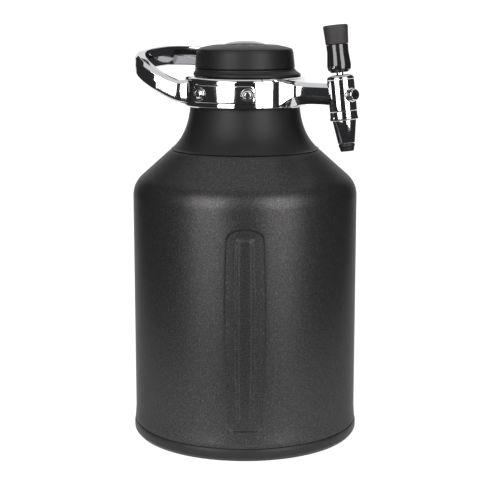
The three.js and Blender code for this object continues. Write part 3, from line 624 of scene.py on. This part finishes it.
def boot_shape():
    """The rubber boot: a standing ring round a raised sole, and a wall up the shell's foot."""
    sole, floor = 1.2, 3
    ring_inner, ring_outer = 60, 82.4
    return turned([
        (0, sole), (ring_inner - 2, sole, 0.6), (ring_inner, 0, 0.8), (ring_outer, 0, 2.6),
        (BOOT_RADIUS, 3.4, 3), (BOOT_RADIUS, 7.6, 1.5), (BOOT_RADIUS - 0.4, BOOT_TOP, 0.5),
        (81.8, BOOT_TOP), (81.6, floor), (0, floor),
    ], 144)


def cone_shape():
    outer = cone_sweep(0, 28)
    inner = cone_sweep(CONE_WALL, 12)[::-1]
    foot_radius, foot_z = outer[0]
    foot = [(foot_radius - 0.4, foot_z), (foot_radius, foot_z + 0.35)]
    return turned([*foot, *outer[1:], *inner], 144)


# ------------------------------------------------------------------ collar, loop and arm
def collar_profile():
    return [
        (COLLAR_BORE, COLLAR_LOW, 0.3), (COLLAR_RADIUS - 0.9, COLLAR_LOW, 0.5),
        (COLLAR_RADIUS, COLLAR_LOW + 1.0, 0.6), (COLLAR_RADIUS, COLLAR_TOP, 3.0),
        (COLLAR_BORE, COLLAR_TOP, 0.3),
    ]


def sector(profile, start, end, step=2.0):
    """A closed profile swept about +Z between two angles in degrees, with flat ends."""
    points = softened(profile, 6)
    count = max(2, round((end - start) / step))
    rings = []
    for i in range(count + 1):
        angle = math.radians(start + (end - start) * i / count)
        rings.append([(p.x * math.cos(angle), p.x * math.sin(angle), p.y) for p in points])
    return loft(rings)


def curved_plate(plate, low_radius, high_radius, grow, edge=0.0):
    """A rounded rectangle wrapped round the collar between two radii, its outer edge rounded over."""
    half_height = (PLATE_HIGH - PLATE_LOW) / 2 + grow
    half_width = plate["width"] / 2 + grow
    corner, corner_steps = 2.4 + grow, 6
    across = max(4, round(plate["width"] / 2.5))
    ends = rounded_loop(2 * half_width, 2 * half_height, corner, corner_steps)
    end_points = 2 * (corner_steps + 1)
    right, left = ends[:end_points], ends[end_points:]
    inner = half_width - corner
    columns = [inner - 2 * inner * i / across for i in range(1, across)]
    loop = right + [(s, half_height) for s in columns] + left + [(-s, -half_height) for s in columns]
    levels = [(low_radius, 0.0), (high_radius - edge, 0.0)]
    if edge:
        for k in range(1, 6):
            angle = math.radians(90 * k / 5)
            levels.append((high_radius - edge + edge * math.sin(angle), edge * (1 - math.cos(angle))))
    rings = []
    for radius, shrink in levels:
        ring = []
        for s, z in loop:
            angle = math.radians(plate["angle"]) + s * (1 - shrink / half_width) / COLLAR_RADIUS
            height = PLATE_MIDDLE + z * (1 - shrink / half_height)
            ring.append((radius * math.cos(angle), radius * math.sin(angle), height))
        rings.append(ring)
    verts, faces = loft(rings, closed_ends=False)
    count = len(loop)
    top_start, left_start = end_points - 1, end_points + across - 1
    for first in (0, (len(rings) - 1) * count):
        faces.append([first + j for j in range(end_points)])
        faces.append([first + j for j in range(left_start, left_start + end_points)])
        for i in range(across):
            top, bottom = top_start + i, (count - i) % count
            faces.append([first + top, first + top + 1, first + (bottom - 1) % count, first + bottom])
    return verts, faces


def collar_half(start, end):
    """Half of the split collar between two angles, with the step that each clamp plate sits in."""
    half = sector(collar_profile(), start, end)
    pockets = []
    for plate in (FRONT_PLATE, REAR_PLATE):
        pockets.append(curved_plate(plate, COLLAR_RADIUS - PLATE_DEPTH, COLLAR_RADIUS + 3, PLATE_CLEARANCE))
    return cut(half, *pockets)


def clamp_plate(plate):
    low_radius = COLLAR_RADIUS - PLATE_DEPTH + 0.02
    return curved_plate(plate, low_radius, COLLAR_RADIUS + PLATE_PROUD, 0, edge=PLATE_EDGE)


def catmull(stations, steps):
    """Values along a smooth curve through the stations, with the given steps between neighbours."""
    made = []
    for i in range(len(stations) - 1):
        before = stations[max(i - 1, 0)]
        after = stations[min(i + 2, len(stations) - 1)]
        for k in range(steps):
            t = k / steps
            row = []
            for p, a, b, n in zip(before, stations[i], stations[i + 1], after):
                row.append(0.5 * (2 * a + (b - p) * t + (2 * p - 5 * a + 4 * b - n) * t * t
                                  + (3 * a - p - 3 * b + n) * t ** 3))
            made.append(row)
    made.append(list(stations[-1]))
    return made


# radius from the keg's axis, angle in degrees, height, half the strap's height, half its thickness
LOOP = [
    (36.5, 198.9, 260, 10.0, 7.0), (44.3, 198.7, 260.2, 9.0, 4.9), (51.4, 193.4, 261, 7.8, 4.0),
    (58.8, 189.2, 264.3, 7.1, 3.9), (65.4, 186.1, 268.2, 6.9, 3.9), (71.5, 182.1, 272.5, 6.9, 3.9),
    (76.4, 177, 276.4, 7.0, 3.9), (79.7, 170.6, 279.3, 7.3, 3.9), (81.2, 162.8, 281.5, 7.5, 3.9),
    (77.8, 145, 283.8, 7.5, 3.9), (75, 131, 284, 7.5, 3.9), (71, 117.5, 282.6, 7.5, 3.9),
    (64.5, 106.5, 277.6, 7.7, 4), (54, 99.5, 269, 8.6, 4.2), (46, 98.2, 261.5, 9.4, 4.6),
    (38, 98, 260, 10.2, 6.0),
]


def strap_section(half_height, half_thickness):
    """The loop's section: a bar with a bevelled top edge, a round lower edge and a creased inner face."""
    high, thick = half_height, half_thickness
    outline = [
        (-thick + 2.0, -high, 1.3), (thick, -high, 2.8), (thick + 0.3, 0, 6), (thick, high - 2.4, 0.7),
        (thick - 2.4, high, 0.7), (-thick, high, 1.1), (-thick, 0.6, 0.3),
    ]
    return softened(outline, 5)


def loop_shape():
    """The carrying loop, lofted through upright sections that turn with the path."""
    rows = catmull(LOOP, 9)
    centres = []
    for radius, angle, z, _, _ in rows:
        a = math.radians(angle)
        centres.append(Vector((radius * math.cos(a), radius * math.sin(a), z)))
    rings = []
    for i, row in enumerate(rows):
        ahead = centres[min(i + 1, len(centres) - 1)] - centres[max(i - 1, 0)]
        along = ahead.normalized()
        flat = Vector((ahead.x, ahead.y, 0)).normalized()
        out = Vector((flat.y, -flat.x, 0))
        if out.dot(centres[i]) < 0:
            out = -out
        up = along.cross(out)
        if up.z < 0:
            up = -up
        rings.append([centres[i] + out * x + up * z for x, z in strap_section(row[3], row[4])])
    return loft(rings)


ARM_EDGE = 0.9      # how much the arm's edges are rounded


def arm_section(x, half_width, low, high, top_bevel, low_bevel):
    """An upright ring across the tap arm: a flat-sided bar with broad bevels above and below."""
    side = [
        (half_width - low_bevel, low), (half_width, low + low_bevel),
        (half_width, high - top_bevel), (half_width - top_bevel, high),
    ]
    outline = side[1:] + [(-y, z) for y, z in reversed(side)] + side[:1]
    return [(x, p.x, p.y) for p in softened([(y, z, ARM_EDGE) for y, z in outline], 4)]


# distance from the keg's axis, half width, lowest and highest point, upper and lower bevel
ARM = [
    (33, 27.0, 249.4, 270.9, 0.6, 0.5), (37, 23.6, 249.4, 270.9, 0.8, 0.7),
    (39.8, 20.9, 249.5, 270.8, 1.0, 0.9), (41.6, 18.2, 249.7, 270.5, 1.6, 2.2),
    (43.4, 15.6, 250.0, 270.1, 2.3, 3.8), (45.2, 13.0, 250.4, 269.7, 2.8, 5.2),
    (46.8, 10.9, 250.9, 269.3, 3.0, 6.0), (48.3, 9.4, 251.4, 268.9, 3.1, 6.2),
    (50.2, 8.5, 251.8, 268.6, 3.1, 6.3), (53.5, 8.1, 252.2, 268.2, 3.1, 6.3),
    (58, 7.9, 252.5, 268, 3.0, 6.3), (68, 7.9, 252.6, 268, 3.0, 6.3), (78.5, 7.9, 251.9, 268, 3.0, 6.3),
]


def arm_shape():
    return loft([arm_section(*row) for row in catmull(ARM, 6)])


def carried_half():
    """The handle half of the collar with its loop."""
    reach = SPLIT_ANGLE + SPLIT_TRIM
    half = collar_half(ARM_ANGLE + reach, 360 + ARM_ANGLE - reach)
    return combined(half, loop_shape(), "UNION")


def tap_half():
    """The tap half of the collar with its arm."""
    reach = SPLIT_ANGLE - SPLIT_TRIM
    half = collar_half(ARM_ANGLE - reach, ARM_ANGLE + reach)
    low, height = 230, 60
    bore = turned([(0, 0), (COLLAR_BORE, 0), (COLLAR_BORE, height), (0, height)], 96)
    arm = cut(moved(arm_shape(), arm_place()), moved(bore, Matrix.Translation((0, 0, low))))
    return combined(half, arm, "UNION")


def clamp_screw(angle):
    """A button-head screw on a plain washer, with a hexagon socket."""
    head = cut(turned([(0, 0), (3.3, 0, 0.2), (3.3, 0.7, 0.3), (2.1, 1.6, 0.8), (0, 1.6)], 48, 5),
               hex_socket(1.35, 0.7, 3))
    under = -WASHER_THICKNESS
    washer = turned([(1.8, under), (4.9, under, 0.15), (4.9, 0, 0.25), (3.0, 0)], 56)
    place = radial_place(angle, SCREW_SEAT + WASHER_THICKNESS, PLATE_MIDDLE)
    return [moved(shape, place) for shape in (washer, head)]


def hex_socket(radius, low, high):
    verts = []
    for z in (low, high):
        verts += [Vector((radius * math.cos(k * math.pi / 3), radius * math.sin(k * math.pi / 3), z))
                  for k in range(6)]
    faces = [[5, 4, 3, 2, 1, 0], [6, 7, 8, 9, 10, 11]]
    faces += [[k, (k + 1) % 6, (k + 1) % 6 + 6, k + 6] for k in range(6)]
    return verts, faces


# ------------------------------------------------------------------ neck, flange and cap
def flange_shape():
    """The neck's top flange: round at the mouth, its foot set a little towards the tap."""
    outline = [
        (MOUTH_RADIUS, FLANGE_LOW), (FLANGE_LOW_RADIUS, FLANGE_LOW, 0.5),
        (FLANGE_LOW_RADIUS, FLANGE_LOW + 1.6, 0.8), (FLANGE_TOP_RADIUS, FLANGE_TOP - 1.2, 0.8),
        (FLANGE_TOP_RADIUS, FLANGE_TOP, 0.5), (GASKET_SEAT_RADIUS, FLANGE_TOP, 0.2),
        (GASKET_SEAT_RADIUS, GASKET_SEAT), (MOUTH_RADIUS, GASKET_SEAT, 0.3),
    ]
    verts, faces = turned(outline, 120)
    for v in verts:
        reach = math.hypot(v.x, v.y)
        if reach > GASKET_SEAT_RADIUS + 0.1:
            v.x += FLANGE_SHIFT * (FLANGE_TOP - v.z) / (FLANGE_TOP - FLANGE_LOW)
    return verts, faces


def cap_shape():
    """The screw cap: a satin dome, its skirt opening slightly downwards, with a rim round the dial well."""
    well, crown = 16.1, 24
    return turned([
        (well, CAP_TOP - 0.1, 0.3), (17.0, CAP_TOP, 0.4), (crown, CAP_TOP - 0.4, 5),
        (30.6, CAP_TOP - 1.7, 4), (CAP_SHOULDER_RADIUS - 0.9, CAP_SHOULDER + 2.6, 2.2),
        (CAP_SHOULDER_RADIUS, CAP_SHOULDER, 2), (CAP_RADIUS - 0.2, CAP_LOW + 2.2, 1),
        (CAP_RADIUS, CAP_LOW, 0.45), (CAP_RADIUS - CAP_WALL, CAP_LOW, 0.4),
        (CAP_SHOULDER_RADIUS - CAP_WALL - 0.4, CAP_SHOULDER - 0.6, 2), (crown, CAP_TOP - 3.2, 3),
        (well, CAP_TOP - 2.8),
    ], 144, 6)


def dial_shape():
    """The turning pressure dial: a shallow lens flush with the cap, over its stem."""
    rise = DIAL_TOP - DIAL_EDGE
    outline = [(0, DIAL_LOW), (DIAL_RADIUS, DIAL_LOW), (DIAL_RADIUS, DIAL_EDGE - 0.2, 0.3)]
    flatness = 2.4
    for k in range(1, 11):
        share = 1 - k / 10
        outline.append((DIAL_RADIUS * share, DIAL_TOP - rise * share ** flatness))
    return turned(outline, 120, 4)


def plug_shape():
    """The threaded plug under the cap, round the regulator."""
    low, high = box_mm("cap_plug")
    bore, radius, pitch = 14.9, 28.6, 2.6
    root = radius - 1.2
    outline = [(bore, low.z), (radius - 2.2, low.z, 0.6), (root, low.z + 1.2, 0.4)]
    z = low.z + 1.8
    while z + pitch < FLANGE_TOP:
        outline += [(root, z, 0.2), (radius, z + 0.7, 0.3), (radius, z + 1.2, 0.3), (root, z + 1.9, 0.2)]
        z += pitch
    seat = CAP_LOW + 0.2
    outline += [(root, seat, 0.2), (high.x, seat, 0.3), (high.x, high.z, 0.3), (bore, high.z)]
    return turned(outline, 96, 3)


def gasket_shape():
    low, high = box_mm("cap_gasket")
    inner = 32.0
    return turned([
        (inner, low.z, 0.5), (high.x, low.z, 0.7), (high.x, high.z, 0.7), (inner, high.z, 0.5),
    ], 96, 5)


def sleeve_shape():
    """The steel cartridge sleeve, a little slimmer between its foot and its mouth."""
    low, high = box_mm("cartridge_sleeve")
    radius, bore = high.x, 11.4
    waist, bottom = radius - 0.5, low.z + 2.5
    return turned([
        (0, low.z), (radius - 2.4, low.z, 1.2), (radius, low.z + 2.4, 1), (radius, low.z + 14, 0.3),
        (waist, low.z + 14.6, 0.3), (waist, high.z - 9, 0.3), (radius, high.z - 8.4, 0.3),
        (radius, high.z, 0.4), (bore, high.z, 0.3), (bore, bottom, 0.5), (0, bottom),
    ], 72)


def cartridge_shape():
    low, high = box_mm("gas_cartridge")
    radius, neck = high.x, 4.3
    return turned([
        (0, low.z + 0.3), (radius * 0.55, low.z, 3), (radius, low.z + 6, 6), (radius, high.z - 21, 8),
        (neck + 0.4, high.z - 8, 5), (neck, high.z - 6.5, 0.5), (neck, high.z, 0.5), (0, high.z),
    ], 56, 6)


# ------------------------------------------------------------------ tap
def lever_slot(shape, low, high):
    """Cuts the slot that the lever swings in, open towards the outlet side."""
    length, width, corner, forward = 11.9, 6.2, 2.6, 2.75
    outline = rounded_loop(length, width, corner, 5)
    return cut(shape, loft([[(x + forward, y, z) for x, y in outline] for z in (low, high)]))


def tap_body_shape():
    throat = 5.4
    outline = [
        (throat, TAP_BODY_LOW, 0.2), (TAP_RADIUS, TAP_BODY_LOW, 0.35), (TAP_RADIUS, TAP_BODY_TOP, 0.35),
        (TAP_CAVITY_RADIUS, TAP_BODY_TOP, 0.3), (TAP_CAVITY_RADIUS, -3, 0.5), (throat, -4.5, 0.3),
    ]
    return moved(turned(outline, 84), tap_place())


def bonnet_shape():
    corner = arc(TAP_RADIUS - BONNET_ROUND, BONNET_TOP - BONNET_ROUND, BONNET_ROUND, 0, 90, 10)
    outline = [(0, BONNET_LOW), (TAP_RADIUS, BONNET_LOW), *corner, (0, BONNET_TOP)]
    return moved(lever_slot(turned(outline, 84, 8), BONNET_LOW - 1, BONNET_TOP + 1), tap_place())


def seat_shape():
    """The cup that screws up under the tap body, with a lip round its foot."""
    cup_radius, cup_floor = 5.2, SEAT_LOW + 2.2
    outline = [
        (TAP_BORE, SEAT_LOW), (TAP_RADIUS + 0.3, SEAT_LOW, 0.6), (TAP_RADIUS + 0.45, SEAT_LOW + 1.6, 0.6),
        (TAP_RADIUS, SEAT_LOW + 2.6, 0.6), (TAP_RADIUS, SEAT_TOP, 0.35), (cup_radius, SEAT_TOP, 0.2),
        (cup_radius, cup_floor), (TAP_BORE, cup_floor),
    ]
    return moved(turned(outline, 84), tap_place())


def spout_shape():
    outline = [
        (TAP_BORE, SPOUT_LOW, 0.3), (6.3, SPOUT_LOW, 0.5), (8.4, -22.3, 2.4), (9.0, SPOUT_TOP, 0.3),
        (TAP_BORE, SPOUT_TOP),
    ]
    return moved(turned(outline, 72, 6), tap_place())


def tip_shape():
    outline = [
        (TAP_BORE, TIP_LOW + 0.2, 0.5), (5.0, TIP_LOW, 0.8), (5.5, TIP_LOW + 2.6, 0.6),
        (6.1, TIP_TOP - 1.6, 0.5), (6.1, TIP_TOP, 0.4), (TAP_BORE, TIP_TOP),
    ]
    return moved(turned(outline, 60), tap_place())


def side_plug_shape():
    """The stepped plug on the tap's flank, over the lever's pivot pin."""
    outline = [
        (0, 5.6), (3.0, 5.6), (3.0, 9.0), (3.2, 9.6), (5.3, 10.0, 0.3), (5.3, 11.6, 0.5), (4.5, 12.3, 0.3),
        (4.4, 14.6, 0.4), (3.7, 15.4, 0.3), (0, 15.4),
    ]
    plug = cut(turned(outline, 64), hex_socket(1.6, 13.4, 17))
    return moved(plug, tap_place() @ radial_place(SIDE_PLUG["angle"], 0, SIDE_PLUG["height"]))


def lever_shape():
    """The lever: a ball at its pivot and a slim stem up into the handle."""
    ball, end = 4.6, 32
    outline = [(0, LEVER_PIVOT - ball), *arc(0, LEVER_PIVOT, ball, -75, 57, 11)]
    outline += [(STEM_RADIUS, LEVER_PIVOT + 4.4, 0.5), (STEM_RADIUS, end, 0.6), (0, end)]
    return moved(turned(outline, 48), tap_place())


def handle_shape():
    """The gloss handle: a bulb with a hollowed foot, its set screw's hole and a square top edge."""
    outline = [
        (HANDLE_BORE, HANDLE_LOW + 0.8), (5.2, HANDLE_LOW + 0.7, 0.2), (5.8, HANDLE_LOW, 0.2),
        (6.5, HANDLE_LOW, 0.4), (7.3, HANDLE_LOW + 0.9, 0.8), (8.6, 19.2, 1.5), (9.05, 22.4, 4),
        (8.55, 27.4, 5), (8.1, 32.4, 5), (8.3, HANDLE_TOP, 0.35), (HANDLE_BORE, HANDLE_TOP),
    ]
    hole_radius, hole_start, hole_end = 1.65, 6.9, 12
    hole = turned([(0, hole_start), (hole_radius, hole_start), (hole_radius, hole_end), (0, hole_end)], 28)
    drilled = cut(turned(outline, 96, 8), moved(hole, handle_screw_place()))
    return moved(drilled, tap_place())


def handle_screw_place():
    return radial_place(HANDLE_SCREW["angle"], 0, HANDLE_SCREW["height"])


def grip_shape():
    plug_low = 33
    outline = [
        (HANDLE_BORE, GRIP_LOW), (8.5, GRIP_LOW, 0.4), (8.9, 45, 12), (9.3, 50.9, 0.7), (9.1, 51.6, 0.4),
        (8.5, GRIP_TOP, 0.35), (0, GRIP_TOP - 0.05), (0, plug_low), (HANDLE_BORE, plug_low),
    ]
    return moved(turned(outline, 84, 5), tap_place())


def handle_screw_shape():
    radius, start, end = 1.5, 3.0, 8.4
    screw = turned([(0, start), (radius, start), (radius, end, 0.3), (0, end)], 28)
    return moved(cut(screw, hex_socket(0.75, 7.4, 9)), tap_place() @ handle_screw_place())


def arm_screw_shape():
    low, high = box_mm("arm_set_screw")
    radius = 1.5
    outline = [(0, low.z), (radius, low.z), (radius, high.z, 0.25), (0, high.z)]
    screw = cut(turned(outline, 28), hex_socket(0.75, high.z - 0.9, high.z + 1.3))
    return moved(screw, arm_place() @ Matrix.Translation((ARM_SCREW_REACH, 0, 0)))


# ------------------------------------------------------------------ assembly
def build_keg():
    piece("boot", boot_shape(), "keg", RUBBER, ["base_boot"])
    piece("shell", shell_shape(), "keg", POWDER, ["outer_shell"], 50)
    piece("cone", cone_shape(), "keg", SATIN, ["neck_cone"])
    piece("flange", flange_shape(), "keg", SATIN, ["neck_flange"])
    piece("collar_with_loop", carried_half(), "keg", CHROME, ["handle_collar"], 30)
    piece("collar_with_arm", tap_half(), "keg", CHROME, ["tap_collar"], 30)
    piece("front_plate", clamp_plate(FRONT_PLATE), "keg", CHROME, ["clamp_plate"], 40)
    piece("rear_plate", clamp_plate(REAR_PLATE), "keg", CHROME, ["rear_clamp_plate"], 40)
    screws = {
        "clamp_screw_left": FRONT_PLATE["screws"][0], "clamp_screw_right": FRONT_PLATE["screws"][1],
        "rear_screw_left": REAR_PLATE["screws"][0], "rear_screw_right": REAR_PLATE["screws"][1],
    }
    for node, angle in screws.items():
        washer, head = clamp_screw(angle)
        piece(node + "_head", head, "keg", SCREW, [node])
        piece(node + "_washer", washer, "keg", SCREW)
    piece("arm_screw", arm_screw_shape(), "keg", SCREW, ["arm_set_screw"])
    piece("tap_barrel", tap_body_shape(), "keg", CHROME, ["tap_body"])
    piece("tap_cap_ring", bonnet_shape(), "keg", CHROME, ["tap_bonnet"])
    piece("tap_cup", seat_shape(), "keg", CHROME, ["tap_seat"])
    piece("spout", spout_shape(), "keg", CHROME, ["tap_spout"])
    piece("rubber_tip", tip_shape(), "keg", RUBBER, ["spout_tip"])
    piece("flank_plug", side_plug_shape(), "keg", CHROME, ["side_plug"])


def build_cap():
    piece("gasket", gasket_shape(), "cap_seat", RUBBER, ["cap_gasket"])
    piece("cap_dome", cap_shape(), "cap", SATIN, ["cap_shell"])
    piece("threaded_plug", plug_shape(), "cap", SATIN, ["cap_plug"])
    piece("dial", dial_shape(), "dial", GLOSS, ["pressure_dial"])
    piece("sleeve", sleeve_shape(), "cartridge_holder", STEEL, ["cartridge_sleeve"])
    piece("cartridge", cartridge_shape(), "cartridge_holder", STEEL, ["gas_cartridge"])


def build_lever():
    piece("lever_stem", lever_shape(), "lever", CHROME, ["tap_lever"])
    piece("handle_bulb", handle_shape(), "lever", GLOSS, ["tap_handle"])
    piece("handle_grip", grip_shape(), "lever", GRIP, ["tap_grip"])
    piece("handle_screw", handle_screw_shape(), "lever", SCREW, ["handle_set_screw"])


# ------------------------------------------------------------------ studio
CAMERA_PLACE = Vector((0, -1.0, 0.325))     # metres
CAMERA_PITCH = math.radians(10.3)           # downwards
CAMERA_LENS = 98.23                         # millimetres, as is the sensor's width
SENSOR_WIDTH = 36
KEG_MIDDLE = (0, 0, 0.15)
SOFTBOX_TURN = math.radians(36)             # either side of the camera
SOFTBOX_DISTANCE, SOFTBOX_HEIGHT = 1.35, 0.55
SOFTBOX_SIZE, SOFTBOX_POWER = (0.82, 1.3), 22
OVERHEAD_PLACE, OVERHEAD_SIZE, OVERHEAD_POWER = (0, 0.15, 1.2), (1.5, 1.2), 5.5
ROOM_COLOUR, ROOM_STRENGTH = (0.8, 0.82, 0.85, 1), 0.045
PAPER_COLOUR, PAPER_GLOW = (0.3, 0.3, 0.3, 1), 0.88


def studio_white():
    """Pale matt paper, lifted a little by its own glow so that it stays pale behind the keg."""
    material, _, shader = new_material("studio_white")
    shader.inputs["Base Color"].default_value = PAPER_COLOUR
    shader.inputs["Roughness"].default_value = 0.95
    shader.inputs["Specular IOR Level"].default_value = 0.1
    shader.inputs["Emission Color"].default_value = (1, 1, 1, 1)
    shader.inputs["Emission Strength"].default_value = PAPER_GLOW
    return material


def sweep_backdrop():
    """A white floor, wider towards the back, that curves up into a backdrop behind the keg."""
    front_width, back_width = 0.30, 0.85
    front, back, radius, height = -0.18, 1.3, 0.5, 1.5
    profile = [(front, 0.0), (back - radius, 0.0)]
    for k in range(1, 17):
        angle = math.radians(90 * k / 16)
        profile.append((back - radius + radius * math.sin(angle), radius - radius * math.cos(angle)))
    profile.append((back, height))
    verts = []
    for y, z in profile:
        width = front_width + (back_width - front_width) * (y - front) / (back - front)
        verts += [(-width, y, z), (width, y, z)]
    faces = [(2 * i, 2 * i + 1, 2 * i + 3, 2 * i + 2) for i in range(len(profile) - 1)]
    mesh = bpy.data.meshes.new("backdrop")
    mesh.from_pydata(verts, [], faces)
    mesh.shade_smooth()
    mesh.materials.append(studio_white())
    made = bpy.data.objects.new("backdrop", mesh)
    bpy.context.scene.collection.objects.link(made)


def softbox(name, place, size, power):
    """A rectangular light that faces the keg."""
    light = bpy.data.lights.new(name, "AREA")
    light.shape = "RECTANGLE"
    light.size, light.size_y = size
    light.energy = power
    made = bpy.data.objects.new(name, light)
    made.location = place
    aim = Vector(KEG_MIDDLE) - Vector(place)
    made.rotation_euler = aim.to_track_quat("-Z", "Y").to_euler()
    bpy.context.scene.collection.objects.link(made)
    return made


def room_light():
    """An even, faint light from all round."""
    world = bpy.data.worlds.new("studio")
    world.use_nodes = True
    background = world.node_tree.nodes["Background"]
    background.inputs["Color"].default_value = ROOM_COLOUR
    background.inputs["Strength"].default_value = ROOM_STRENGTH
    bpy.context.scene.world = world


def photo_camera():
    camera = bpy.data.cameras.new("camera")
    camera.lens = CAMERA_LENS
    camera.sensor_width = SENSOR_WIDTH
    made = bpy.data.objects.new("camera", camera)
    made.location = CAMERA_PLACE
    made.rotation_euler = (math.radians(90) - CAMERA_PITCH, 0, 0)
    bpy.context.scene.collection.objects.link(made)
    bpy.context.scene.camera = made
    bpy.context.scene.view_settings.view_transform = "Standard"


def studio():
    sweep_backdrop()
    for name, azimuth in (("left_softbox", -SOFTBOX_TURN), ("right_softbox", SOFTBOX_TURN)):
        across, back = math.sin(azimuth), -math.cos(azimuth)
        place = (SOFTBOX_DISTANCE * across, SOFTBOX_DISTANCE * back, SOFTBOX_HEIGHT)
        softbox(name, place, SOFTBOX_SIZE, SOFTBOX_POWER)
    softbox("overhead", OVERHEAD_PLACE, OVERHEAD_SIZE, OVERHEAD_POWER)
    room_light()
    photo_camera()


dress_cad_nodes()
build_keg()
build_cap()
build_lever()
studio()
